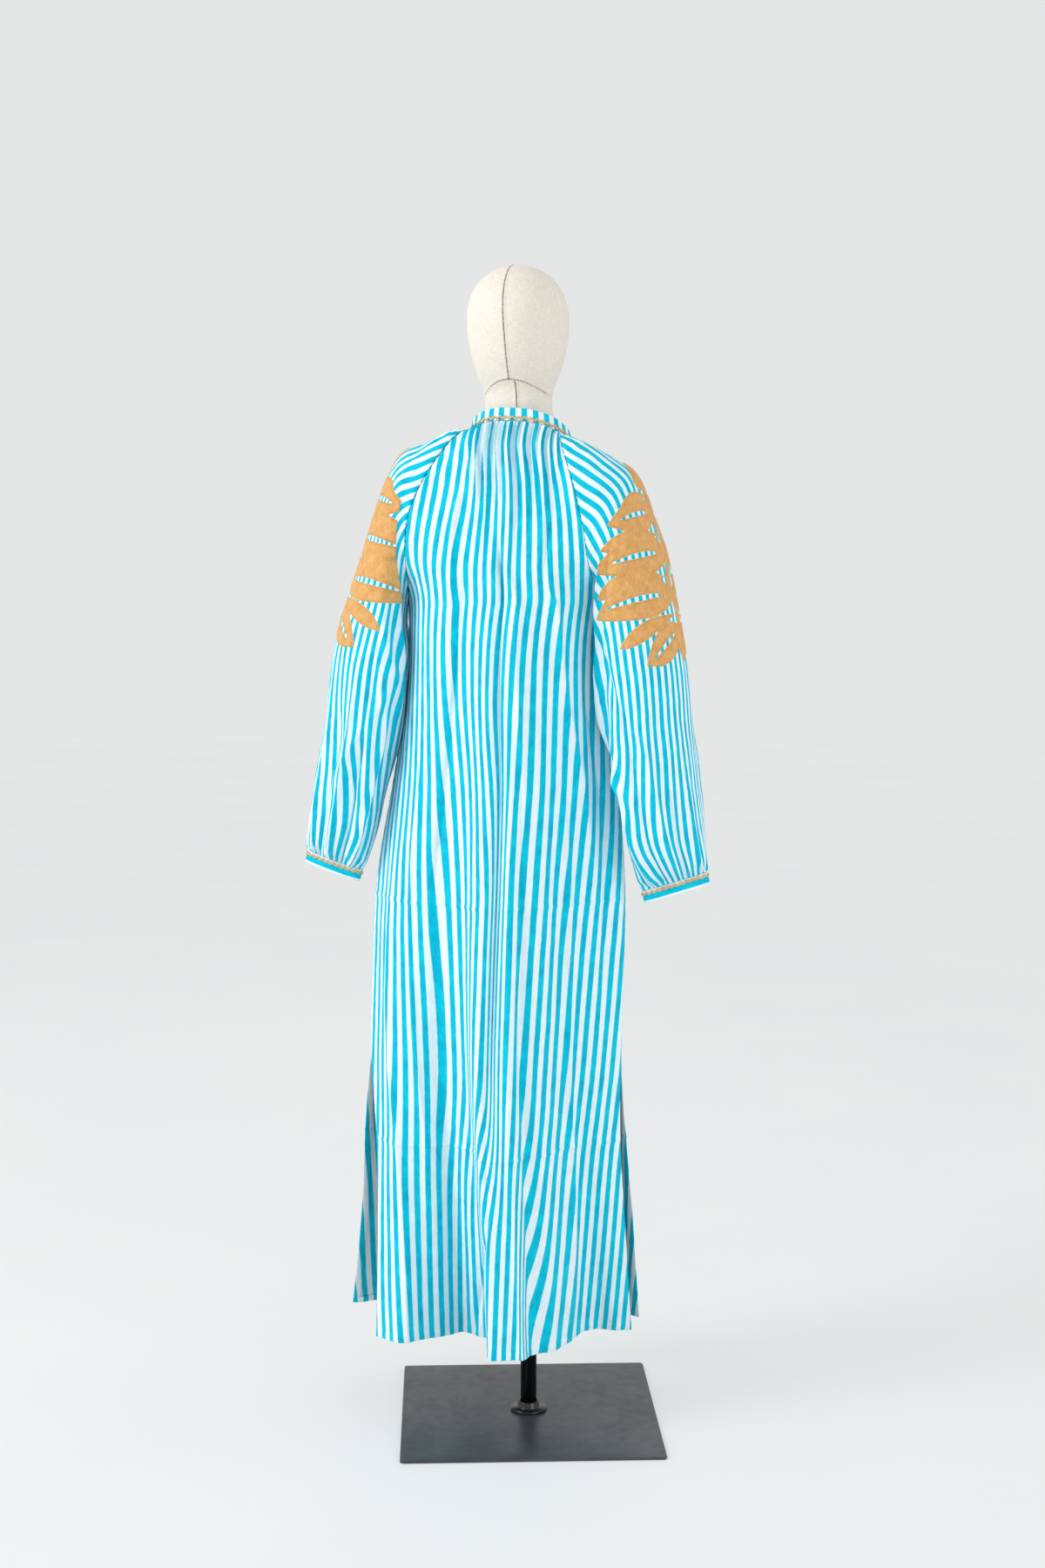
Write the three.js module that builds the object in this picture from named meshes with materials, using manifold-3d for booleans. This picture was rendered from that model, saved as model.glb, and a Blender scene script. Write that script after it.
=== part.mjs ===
// A striped cotton kaftan with raglan sleeves, worn by a limbless linen dress form on a steel stand.
// Units are millimetres. +Z is up, +Y is the front of the garment, and the origin is the middle of
// the stand plate's underside, on the floor.
import * as THREE from "three";
import { mergeVertices } from "three/addons/utils/BufferGeometryUtils.js";
import Module from "manifold-3d";

const wasm = await Module();
wasm.setup();

// Driving sizes
const WALL = 1.2; // cloth wall, as modelled
const SEAM = 0.3; // gap between two pieces at a seam
const SEAM_EASE = 0.2;
const HEM_Z = 122; // height of the hem above the floor
const UNDERARM_Z = 1207; // height where side seam and underarm seam meet
const NECKBAND_HEIGHT = 18;
const SLIT_V = 1.61; // the side slits open below this row, 546 mm above the floor
const FRONT_SLIT_V = 0.62; // the centre front neck slit ends at this row
const FRONT_SLIT_GAPE = 11; // how far each edge of it hangs open at the neck
const FRONT_SLIT_S = 0.008; // the two columns beside it, from the middle of the panel
const PLATE = { side: 380, thick: 4, cornerRadius: 6 };
const POLE = { radius: 12 };
const FLANGE = { radius: 27, thick: 4, collarRadius: 16, collarHeight: 10 };
const RICRAC = { wave: 10, swing: 1.5, width: 2.6, thick: 1.2, gap: 0.35 };
const NECK_BRAID = { length: 486, rise: 5 }; // rise is the braid's middle above the neck seam
const CUFF_BRAID = { length: 216, drop: 5 }; // drop is the braid's middle below the cuff's top edge
const CUFF = { height: 18, thick: 1.5, start: 0.6, columns: 24 }; // start is the gap to the sleeve
const APPLIQUE = { thick: 1, gap: 0.7, top: 1410, bottom: 1166, drift: -12, stem: 12 };
// The motif is rolled round each arm's axis. round is the radius on which its widths are measured.
const CUTTER = { inner: 26, depth: 112, round: 80 };
const ARM_Y = -4;
// axisX is the axis at the motif's top, and axisSlope how far it moves over for each mm down
const ARM = {
  right: { outward: 1, lift: 0, axisX: 93, axisSlope: 0.235 },
  left: { outward: -1, lift: 26, axisX: -117, axisSlope: -0.356 },
};

const COLOUR = {
  cloth: 0x7fd3e6,
  trim: 0xc58f55,
  linen: 0xddd2bd,
  steel: 0x1c1d1f,
};

// Named columns, one row for each section, joined by smooth curves

function sample(table, key, at) {
  const last = table.length - 1;
  let i = 0;
  while (i < last - 1 && table[i + 1][key] < at) i += 1;
  const a = table[i];
  const b = table[i + 1];
  const before = table[Math.max(i - 1, 0)];
  const after = table[Math.min(i + 2, last)];
  const span = b[key] - a[key];
  const f = THREE.MathUtils.clamp((at - a[key]) / span, 0, 1);
  const out = {};
  for (const name of Object.keys(a)) {
    const slopeA = (b[name] - before[name]) / (b[key] - before[key]);
    const slopeB = (after[name] - a[name]) / (after[key] - a[key]);
    const f2 = f * f;
    const f3 = f2 * f;
    out[name] =
      (2 * f3 - 3 * f2 + 1) * a[name] +
      (f3 - 2 * f2 + f) * span * slopeA +
      (3 * f2 - 2 * f3) * b[name] +
      (f3 - f2) * span * slopeB;
  }
  return out;
}

const mix = (a, b, f) => a + (b - a) * f;
const ease = (x) => {
  const f = THREE.MathUtils.clamp(x, 0, 1);
  return f * f * (3 - 2 * f);
};

// The neck seam is an egg shape round the form's neck. Angles are in degrees from +X towards +Y.
const NECK = { x: -12, y: 6, side: 76, back: 66, front: 84 };
const NECK_HEIGHT = [
  { sine: -1, z: 1471 },
  { sine: -0.5, z: 1454 },
  { sine: 0, z: 1436 },
  { sine: 0.6, z: 1410 },
  { sine: 1, z: 1386 },
];
const LEFT_SHOULDER_LIFT = 8;
const NECK_SETTLE = 0.25;
const NECK_TILT = 24; // how much lower the front end of a sleeve's neck edge is than its middle
const NECK_ANGLE = { rightBack: -31, rightFront: 32, leftFront: 148, leftBack: 211 };

function neckPoint(degrees) {
  const angle = THREE.MathUtils.degToRad(degrees);
  const sine = Math.sin(angle);
  const cosine = Math.cos(angle);
  const lift = LEFT_SHOULDER_LIFT * Math.max(0, -cosine);
  return new THREE.Vector3(
    NECK.x + NECK.side * cosine,
    NECK.y + (sine < 0 ? NECK.back : NECK.front) * sine,
    sample(NECK_HEIGHT, "sine", sine).z + lift,
  );
}

// Each sleeve row is an arch or a loop. t runs from the neck (0) to the underarm (1) and the cuff (2).
// The in columns are the middle of the line between its two raglan seams, then the underarm seam.
// half is half the distance between the two seams, deep half the loop's depth, and the out columns
// are the outer line over the shoulder and down the arm.
const RIGHT_SLEEVE = [
  { t: 0.0, inX: 48, inY: 12, inZ: 1448, half: 40, deep: 42, outX: 64, outY: 6, outZ: 1440, turn: 0 },
  { t: 0.25, inX: 66, inY: 3, inZ: 1413, half: 63, deep: 66, outX: 98, outY: 3, outZ: 1435, turn: 0 },
  { t: 0.5, inX: 86, inY: 2, inZ: 1368, half: 82, deep: 87, outX: 128, outY: 2, outZ: 1421, turn: 0 },
  { t: 0.7, inX: 100, inY: -3, inZ: 1316, half: 84, deep: 90, outX: 160, outY: 0, outZ: 1397, turn: 0 },
  { t: 0.85, inX: 109, inY: -8, inZ: 1264, half: 70, deep: 86, outX: 178, outY: -4, outZ: 1352, turn: 3 },
  { t: 1.0, inX: 118, inY: -14, inZ: 1207, half: 0, deep: 79, outX: 201, outY: -10, outZ: 1280, turn: 8 },
  { t: 1.25, inX: 124, inY: -20, inZ: 1098, half: 0, deep: 72, outX: 230, outY: -18, outZ: 1136, turn: 10 },
  { t: 1.5, inX: 137, inY: -22, inZ: 985, half: 0, deep: 68, outX: 242, outY: -20, outZ: 1008, turn: 8 },
  { t: 1.75, inX: 152, inY: -22, inZ: 872, half: 0, deep: 58, outX: 256, outY: -19, outZ: 896, turn: 6 },
  { t: 1.9, inX: 165, inY: -20, inZ: 819, half: 0, deep: 36, outX: 264, outY: -18, outZ: 851, turn: 4 },
  { t: 2.0, inX: 172, inY: -18, inZ: 797, half: 0, deep: 13, outX: 267, outY: -18, outZ: 828, turn: 2 },
];
const LEFT_SLEEVE = [
  { t: 0.0, inX: -72, inY: 12, inZ: 1456, half: 40, deep: 42, outX: -88, outY: 6, outZ: 1448, turn: 0 },
  { t: 0.25, inX: -104, inY: 3, inZ: 1428, half: 58, deep: 62, outX: -117, outY: 3, outZ: 1454, turn: 0 },
  { t: 0.5, inX: -136, inY: 2, inZ: 1382, half: 80, deep: 84, outX: -150, outY: 2, outZ: 1445, turn: 0 },
  { t: 0.7, inX: -158, inY: -3, inZ: 1330, half: 82, deep: 88, outX: -185, outY: 0, outZ: 1433, turn: 0 },
  { t: 0.85, inX: -168, inY: -8, inZ: 1272, half: 69, deep: 86, outX: -211, outY: -4, outZ: 1392, turn: -3 },
  { t: 1.0, inX: -179, inY: -14, inZ: 1207, half: 0, deep: 79, outX: -244, outY: -10, outZ: 1296, turn: -8 },
  { t: 1.25, inX: -192, inY: -20, inZ: 1100, half: 0, deep: 72, outX: -292, outY: -18, outZ: 1144, turn: -10 },
  { t: 1.5, inX: -203, inY: -22, inZ: 990, half: 0, deep: 68, outX: -308, outY: -20, outZ: 1020, turn: -8 },
  { t: 1.75, inX: -223, inY: -22, inZ: 885, half: 0, deep: 58, outX: -325, outY: -19, outZ: 912, turn: -6 },
  { t: 1.9, inX: -240, inY: -20, inZ: 836, half: 0, deep: 36, outX: -332, outY: -18, outZ: 866, turn: -4 },
  { t: 2.0, inX: -250, inY: -18, inZ: 817, half: 0, deep: 13, outX: -335, outY: -18, outZ: 845, turn: -2 },
];
const SLEEVE = { right: RIGHT_SLEEVE, left: LEFT_SLEEVE };

// Longitudinal folds of a sleeve: u is the place round the loop, from the back seam to the front seam
const SLEEVE_FOLDS = [
  { u: 0.17, start: 0.95, full: 1.25, end: 1.9, width: 0.05, depth: 9 },
  { u: 0.34, start: 1.15, full: 1.5, end: 2.0, width: 0.05, depth: -7 },
  { u: 0.62, start: 1.2, full: 1.6, end: 2.0, width: 0.06, depth: 6 },
  { u: 0.8, start: 1.0, full: 1.4, end: 1.9, width: 0.06, depth: -7 },
];
const CUFF_GATHERS = { count: 14, swing: 2.2, start: 1.7 };
const SLEEVE_NECK_GATHERS = { count: 7, swing: 1.2, end: 0.6 };

function sleeveShape(side, u, t) {
  const r = sample(SLEEVE[side], "t", t);
  const seam = new THREE.Vector3(r.inX, r.inY, r.inZ);
  const outer = new THREE.Vector3(r.outX, r.outY, r.outZ);
  const half = Math.max(0, t < 1 ? r.half : 0);
  const spread = Math.acos(THREE.MathUtils.clamp(half / r.deep, 0, 1));
  const reach = outer.clone().sub(seam).divideScalar(1 + Math.sin(spread));
  const middle = outer.clone().sub(reach);
  const turn = THREE.MathUtils.degToRad(r.turn);
  const across = new THREE.Vector3(Math.sin(turn), Math.cos(turn), 0).multiplyScalar(r.deep);
  across.z = -NECK_TILT * Math.max(0, 1 - t / 0.8) ** 1.5;
  const angle = mix(-spread, Math.PI + spread, u);
  const point = middle.clone();
  point.addScaledVector(across, -Math.cos(angle));
  point.addScaledVector(reach, Math.sin(angle));
  const out = point.clone().sub(middle).normalize();
  let push = 0;
  for (const fold of SLEEVE_FOLDS) {
    const along = ease((t - fold.start) / (fold.full - fold.start)) * ease((fold.end + 0.1 - t) / 0.3);
    push += fold.depth * along * Math.exp(-(((u - fold.u) / fold.width) ** 2));
  }
  const cuff = CUFF_GATHERS;
  push += cuff.swing * ease((t - cuff.start) / 0.2) * Math.cos(2 * Math.PI * cuff.count * u);
  const neck = SLEEVE_NECK_GATHERS;
  const fade = ease((neck.end - t) / neck.end) * Math.sin(Math.PI * u);
  push += neck.swing * fade * Math.cos(2 * Math.PI * neck.count * u);
  return point.addScaledVector(out, push * Math.min(1, 8 * Math.min(u, 1 - u)));
}

// Near the neck every panel settles on the neck seam
const neckHold = (v) => ease(1 - v / NECK_SETTLE);

function sleevePoint(side, u, t) {
  const angle = mix(NECK_ANGLE[`${side}Back`], NECK_ANGLE[`${side}Front`], u);
  return sleeveShape(side, u, t).lerp(neckPoint(angle), neckHold(t));
}

// The side seams below the underarm. v runs from the underarm (1) to the hem (2).
const SIDE = [
  { v: 1.0, leftX: -178.2, leftY: -14, rightX: 117.2, rightY: -14 },
  { v: 1.06, leftX: -181, leftY: -10, rightX: 113, rightY: -8 },
  { v: 1.12, leftX: -187, leftY: -8, rightX: 116, rightY: -4 },
  { v: 1.19, leftX: -197, leftY: -8, rightX: 126, rightY: 0 },
  { v: 1.24, leftX: -206, leftY: -10, rightX: 134, rightY: 2 },
  { v: 1.36, leftX: -228, leftY: -14, rightX: 144, rightY: 4 },
  { v: 1.48, leftX: -236, leftY: -18, rightX: 143, rightY: 6 },
  { v: 1.61, leftX: -236, leftY: -26, rightX: 138, rightY: 10 },
  { v: 1.72, leftX: -225, leftY: -38, rightX: 135, rightY: 20 },
  { v: 1.84, leftX: -219, leftY: -50, rightX: 140, rightY: 34 },
  { v: 2.0, leftX: -217, leftY: -62, rightX: 148, rightY: 48 },
];
// How far the front panel's edge stands from the back panel's edge below the slit
const SLIT_SPREAD = [
  { v: SLIT_V, leftX: 0, leftY: 0, rightX: 0, rightY: 0 },
  { v: 1.72, leftX: -28, leftY: 34, rightX: 5, rightY: 18 },
  { v: 1.84, leftX: -49, leftY: 76, rightX: 5, rightY: 36 },
  { v: 2.0, leftX: -82, leftY: 134, rightX: 2, rightY: 56 },
];

const BODY = {
  back: [
    { v: 0.0, bulge: 32, rise: -8, power: 2.0 },
    { v: 0.25, bulge: 24, rise: -2, power: 2.2 },
    { v: 0.5, bulge: 22, rise: 0, power: 2.6 },
    { v: 0.7, bulge: 27, rise: 0, power: 2.8 },
    { v: 0.85, bulge: 42, rise: 0, power: 2.8 },
    { v: 1.0, bulge: 106, rise: 0, power: 3.0 },
    { v: 1.12, bulge: 116, rise: 0, power: 2.8 },
    { v: 1.24, bulge: 121, rise: 0, power: 2.6 },
    { v: 1.48, bulge: 108, rise: 0, power: 2.4 },
    { v: 1.72, bulge: 70, rise: 0, power: 2.2 },
    { v: 2.0, bulge: 22, rise: 0, power: 2.0 },
  ],
  front: [
    { v: 0.0, bulge: 36, rise: -48, power: 2.0 },
    { v: 0.25, bulge: 34, rise: -40, power: 2.2 },
    { v: 0.5, bulge: 36, rise: -24, power: 2.6 },
    { v: 0.7, bulge: 48, rise: -12, power: 2.8 },
    { v: 0.85, bulge: 66, rise: -3, power: 2.8 },
    { v: 1.0, bulge: 142, rise: 0, power: 3.0 },
    { v: 1.12, bulge: 130, rise: 0, power: 2.8 },
    { v: 1.24, bulge: 122, rise: 0, power: 2.6 },
    { v: 1.48, bulge: 112, rise: 0, power: 2.4 },
    { v: 1.72, bulge: 86, rise: 0, power: 2.2 },
    { v: 2.0, bulge: 42, rise: 0, power: 2.0 },
  ],
};

// Hanging folds: s is the place across the panel, at the top and at the hem, from -1 left to 1 right
const BODY_FOLDS = {
  back: [
    { top: 0.06, hem: 0.13, start: 0.9, width: 0.19, depth: 106, flat: 4 },
    { top: 0.3, hem: 0.42, start: 0.95, width: 0.15, depth: 76, flat: 4 },
    { top: -0.5, hem: -0.78, start: 1.1, width: 0.17, depth: 30, flat: 2 },
    { top: -0.26, hem: -0.34, start: 0.7, width: 0.11, depth: -26, flat: 2 },
    { top: 0.55, hem: 0.72, start: 0.9, width: 0.12, depth: -16, flat: 2 },
  ],
  front: [
    { top: -0.5, hem: -0.62, start: 0.9, width: 0.16, depth: 34, flat: 2 },
    { top: -0.12, hem: -0.16, start: 0.9, width: 0.17, depth: 58, flat: 4 },
    { top: 0.3, hem: 0.38, start: 0.95, width: 0.15, depth: 46, flat: 2 },
    { top: 0.1, hem: 0.12, start: 0.8, width: 0.1, depth: -20, flat: 2 },
    { top: 0.66, hem: 0.8, start: 1.0, width: 0.12, depth: 20, flat: 2 },
  ],
};
const NECK_GATHERS = { count: 12, swing: 1.5, end: 0.95 };

function sideSeam(panel, side, v) {
  const r = sample(SIDE, "v", v);
  const z = mix(UNDERARM_Z, HEM_Z, v - 1);
  const point = new THREE.Vector3(r[`${side}X`], r[`${side}Y`], z);
  if (panel === "front" && v > SLIT_V) {
    const open = sample(SLIT_SPREAD, "v", v);
    point.x += open[`${side}X`];
    point.y += open[`${side}Y`];
  }
  return point;
}

function panelEdge(panel, side, v) {
  if (v < 1) return sleeveShape(side, panel === "back" ? 0 : 1, v);
  return sideSeam(panel, side, v);
}

function bodyPoint(panel, s, v) {
  const left = panelEdge(panel, "left", v);
  const right = panelEdge(panel, "right", v);
  const r = sample(BODY[panel], "v", v);
  const outward = panel === "back" ? -1 : 1;
  const f = (s + 1) / 2;
  const arch = 1 - Math.abs(s) ** r.power;
  const point = left.clone().lerp(right, f);
  let push = r.bulge * arch;
  for (const fold of BODY_FOLDS[panel]) {
    const place = mix(fold.top, fold.hem, ease(v / 2));
    const grow = THREE.MathUtils.clamp((v - fold.start) / (2 - fold.start), 0, 1) ** 1.5;
    push += fold.depth * grow * Math.exp(-(Math.abs((s - place) / fold.width) ** fold.flat));
  }
  const gathers = NECK_GATHERS;
  const fade = ease((gathers.end - v) / gathers.end) * (1 - s ** 8);
  push += gathers.swing * fade * Math.cos(2 * Math.PI * gathers.count * f);
  point.y += outward * push;
  point.z += r.rise * (1 - s * s);
  const a = NECK_ANGLE;
  const [from, to] = panel === "back" ? [a.leftBack, a.rightBack + 360] : [a.leftFront, a.rightFront];
  const angle = mix(from, to, f);
  const onSeam = neckPoint(angle);
  onSeam.y += outward * gathers.swing * fade * Math.cos(2 * Math.PI * gathers.count * f);
  return point.lerp(onSeam, neckHold(v));
}

// Cloth walls

function gridOf(rows, columns, place) {
  return rows.map((v) => columns.map((s) => place(s, v)));
}

function normalsOf(grid, turnOver) {
  const rows = grid.length;
  const columns = grid[0].length;
  return grid.map((line, i) =>
    line.map((_, j) => {
      const across = grid[i][Math.min(j + 1, columns - 1)].clone().sub(grid[i][Math.max(j - 1, 0)]);
      const down = grid[Math.min(i + 1, rows - 1)][j].clone().sub(grid[Math.max(i - 1, 0)][j]);
      return (turnOver ? across.cross(down) : down.cross(across)).normalize();
    }),
  );
}

// Gives two panels one direction where they meet, so their walls stay side by side
function shareNormal(a, b) {
  const both = a.clone().add(b).normalize();
  a.copy(both);
  b.copy(both);
}

// Pulls a panel's border in by a little more than half the seam gap, square to the border
function trimBorder(grid) {
  const rows = grid.length;
  const columns = grid[0].length;
  const half = SEAM / 2 + SEAM_EASE;
  const copy = grid.map((line) => line.map((p) => p.clone()));
  const pull = (i, j, di, dj) => {
    const before = copy[Math.max(i - dj, 0)]?.[Math.max(j - di, 0)];
    const after = copy[Math.min(i + dj, rows - 1)]?.[Math.min(j + di, columns - 1)];
    const border = after.clone().sub(before).normalize();
    const besideRow = i + (di > 0 ? inward(i, rows) : 0);
    const besideColumn = j + (dj > 0 ? inward(j, columns) : 0);
    const way = copy[besideRow][besideColumn].clone().sub(copy[i][j]);
    const square = way.addScaledVector(border, -way.dot(border)).normalize();
    grid[i][j].addScaledVector(square, half);
  };
  for (let i = 0; i < rows; i += 1) {
    pull(i, 0, 0, 1);
    pull(i, columns - 1, 0, 1);
  }
  for (let j = 0; j < columns; j += 1) {
    pull(0, j, 1, 0);
    pull(rows - 1, j, 1, 0);
  }
}

const inward = (i, count) => (i === 0 ? 1 : -1);

// A closed wall: the outer points, the same points moved in, and a rim round every border
function wall(grid, normals, thick, turnOver, keep = () => true, lift = 0) {
  const rows = grid.length;
  const columns = grid[0].length;
  const positions = [];
  const index = [];
  const numbers = new Map();
  const vertex = (i, j, inner) => {
    const key = (i * columns + j) * 2 + inner;
    if (!numbers.has(key)) {
      numbers.set(key, positions.length / 3);
      const p = grid[i][j].clone().addScaledVector(normals[i][j], lift - inner * thick);
      positions.push(p.x, p.y, p.z);
    }
    return numbers.get(key);
  };
  const face = (a, b, c) => (turnOver ? index.push(a, c, b) : index.push(a, b, c));
  const quad = (a, b, c, d) => {
    face(a, b, c);
    face(a, c, d);
  };
  const kept = (i, j) => i >= 0 && j >= 0 && i < rows - 1 && j < columns - 1 && keep(i, j);
  for (let i = 0; i < rows - 1; i += 1) {
    for (let j = 0; j < columns - 1; j += 1) {
      if (!kept(i, j)) continue;
      const [a, b, c, d] = [
        [i, j],
        [i, j + 1],
        [i + 1, j + 1],
        [i + 1, j],
      ];
      const out = [a, b, c, d].map(([m, n]) => vertex(m, n, 0));
      const inside = [a, b, c, d].map(([m, n]) => vertex(m, n, 1));
      quad(out[0], out[3], out[2], out[1]);
      quad(inside[0], inside[1], inside[2], inside[3]);
      const beside = [kept(i - 1, j), kept(i, j + 1), kept(i + 1, j), kept(i, j - 1)];
      beside.forEach((there, k) => {
        if (!there) quad(out[k], out[(k + 1) % 4], inside[(k + 1) % 4], inside[k]);
      });
    }
  }
  return closedGeometry(positions, index);
}

function closedGeometry(positions, index) {
  const geometry = new THREE.BufferGeometry();
  geometry.setAttribute("position", new THREE.Float32BufferAttribute(positions, 3));
  geometry.setIndex(index);
  geometry.computeVertexNormals();
  return geometry;
}

function material(colour, roughness, metalness = 0) {
  return new THREE.MeshStandardMaterial({ color: colour, roughness, metalness });
}

function named(name, geometry, finish) {
  const mesh = new THREE.Mesh(geometry, finish);
  mesh.name = name;
  return mesh;
}

const steps = (from, to, count) => Array.from({ length: count + 1 }, (_, i) => mix(from, to, i / count));

// Rows shared by every panel that meets at a raglan seam, then the rows below the underarm
const RAGLAN_ROWS = [0, 0.07, 0.17, 0.3, 0.44, 0.58, 0.71, 0.83, 0.93, 1];
const BODY_ROWS = [...RAGLAN_ROWS, 1.07, 1.17, 1.3, 1.45, SLIT_V, 1.73, 1.86, 2];
const SLEEVE_ROWS = [...RAGLAN_ROWS, 1.1, 1.25, 1.4, 1.55, 1.7, 1.82, 1.92, 2];
const BODY_COLUMNS = 34;
const SLEEVE_COLUMNS = 24;
const SIDES = ["left", "right"];

function kaftan() {
  const group = new THREE.Group();
  const cloth = material(COLOUR.cloth, 0.85);
  const across = steps(-1, 1, BODY_COLUMNS);
  const slitColumn = BODY_COLUMNS / 2;
  const frontAcross = across.filter((s) => Math.abs(s) > FRONT_SLIT_S);
  frontAcross.splice(slitColumn, 0, -FRONT_SLIT_S, FRONT_SLIT_S);
  const around = steps(0, 1, SLEEVE_COLUMNS);

  const back = gridOf(BODY_ROWS, across, (s, v) => bodyPoint("back", s, v));
  const front = gridOf(BODY_ROWS, frontAcross, (s, v) => frontPoint(s, v));
  const sleeves = SIDES.map((side) => gridOf(SLEEVE_ROWS, around, (u, t) => sleevePoint(side, u, t)));

  const backNormals = normalsOf(back, false);
  const frontNormals = normalsOf(front, true);
  const sleeveNormals = sleeves.map((grid, k) => normalsOf(grid, k === 0));

  const lastFront = frontAcross.length - 1;
  SLEEVE_ROWS.forEach((t, i) => {
    SIDES.forEach((_, k) => {
      const own = sleeveNormals[k][i];
      if (t < 1) {
        shareNormal(own[0], backNormals[i][k === 0 ? 0 : BODY_COLUMNS]);
        shareNormal(own[SLEEVE_COLUMNS], frontNormals[i][k === 0 ? 0 : lastFront]);
      } else {
        shareNormal(own[0], own[SLEEVE_COLUMNS]);
      }
    });
  });
  BODY_ROWS.forEach((v, i) => {
    if (v < 1 || v > SLIT_V) return;
    shareNormal(backNormals[i][0], frontNormals[i][0]);
    shareNormal(backNormals[i][BODY_COLUMNS], frontNormals[i][lastFront]);
  });

  [back, front, ...sleeves].forEach(trimBorder);
  const open = (i, j) => !(frontAcross[j] < 0 && frontAcross[j + 1] > 0 && BODY_ROWS[i] < FRONT_SLIT_V);
  group.add(named("back_panel", wall(back, backNormals, WALL, false), cloth));
  group.add(named("front_panel", wall(front, frontNormals, WALL, true, open), cloth));
  SIDES.forEach((side, k) => {
    group.add(named(`sleeve_${side}`, wall(sleeves[k], sleeveNormals[k], WALL, k === 0), cloth));
  });
  return { group, sleeves, sleeveNormals };
}

// The front is slit at the middle from the neck down, and the slit hangs a little open
function frontPoint(s, v) {
  const point = bodyPoint("front", s, v);
  const gape = FRONT_SLIT_GAPE * ease((FRONT_SLIT_V - v) / FRONT_SLIT_V) * (1 - Math.abs(s)) ** 3;
  point.x += Math.sign(s) * gape;
  return point;
}

// The neckband stands on the neck seam, open at the centre front
const NECKBAND = { openDegrees: 2.5, lean: -2.5, columns: 48, thick: 1.5 };

function neckbandGrid() {
  const { openDegrees, lean, columns } = NECKBAND;
  const angles = steps(90 + openDegrees, 450 - openDegrees, columns);
  return [0, 0.5, 1].map((f) =>
    angles.map((degrees) => {
      const base = neckPoint(degrees);
      const out = new THREE.Vector3(base.x - NECK.x, base.y - NECK.y, 0).normalize();
      base.z += 1 + NECKBAND_HEIGHT * f;
      return base.addScaledVector(out, lean * f);
    }),
  );
}

// The cuff goes on from the sleeve's last row, straight down the arm
function cuffFrame(side) {
  const r = sample(SLEEVE[side], "t", 2);
  const reach = new THREE.Vector3(r.outX - r.inX, r.outY - r.inY, r.outZ - r.inZ);
  const turn = THREE.MathUtils.degToRad(r.turn);
  const across = new THREE.Vector3(Math.sin(turn), Math.cos(turn), 0);
  const down = across.clone().cross(reach).normalize();
  if (down.z > 0) down.negate();
  const middle = new THREE.Vector3(r.inX, r.inY, r.inZ).addScaledVector(reach, 0.5);
  return { middle, reach: reach.multiplyScalar(0.5), across: across.multiplyScalar(r.deep), down };
}

function cuffPoint(frame, u, drop) {
  const angle = mix(-Math.PI / 2, (3 * Math.PI) / 2, u);
  return frame.middle
    .clone()
    .addScaledVector(frame.across, -Math.cos(angle))
    .addScaledVector(frame.reach, Math.sin(angle))
    .addScaledVector(frame.down, drop);
}

function cuffOut(frame, u) {
  const angle = mix(-Math.PI / 2, (3 * Math.PI) / 2, u);
  const { across, reach } = frame;
  const out = across.clone().multiplyScalar(-Math.cos(angle) / across.lengthSq());
  return out.addScaledVector(reach, Math.sin(angle) / reach.lengthSq()).normalize();
}

// A closed tube, its last column joined to its first
function tube(loops, thick, turnOver) {
  const count = loops[0].length;
  const rows = loops.length;
  const normals = loops.map((loop, i) =>
    loop.map((_, j) => {
      const across = loop[(j + 1) % count].clone().sub(loop[(j + count - 1) % count]);
      const down = loops[Math.min(i + 1, rows - 1)][j].clone().sub(loops[Math.max(i - 1, 0)][j]);
      return (turnOver ? across.cross(down) : down.cross(across)).normalize();
    }),
  );
  const positions = [];
  const index = [];
  loops.forEach((loop, i) =>
    loop.forEach((p, j) => {
      const inner = p.clone().addScaledVector(normals[i][j], -thick);
      positions.push(p.x, p.y, p.z, inner.x, inner.y, inner.z);
    }),
  );
  const at = (i, j, inner) => 2 * (i * count + (j % count)) + inner;
  const quad = (a, b, c, d) => (turnOver ? index.push(a, c, b, a, d, c) : index.push(a, b, c, a, c, d));
  for (let j = 0; j < count; j += 1) {
    for (let i = 0; i < rows - 1; i += 1) {
      quad(at(i, j, 0), at(i + 1, j, 0), at(i + 1, j + 1, 0), at(i, j + 1, 0));
      quad(at(i, j, 1), at(i, j + 1, 1), at(i + 1, j + 1, 1), at(i + 1, j, 1));
    }
    quad(at(0, j, 0), at(0, j + 1, 0), at(0, j + 1, 1), at(0, j, 1));
    quad(at(rows - 1, j, 0), at(rows - 1, j, 1), at(rows - 1, j + 1, 1), at(rows - 1, j + 1, 0));
  }
  return closedGeometry(positions, index);
}

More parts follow.
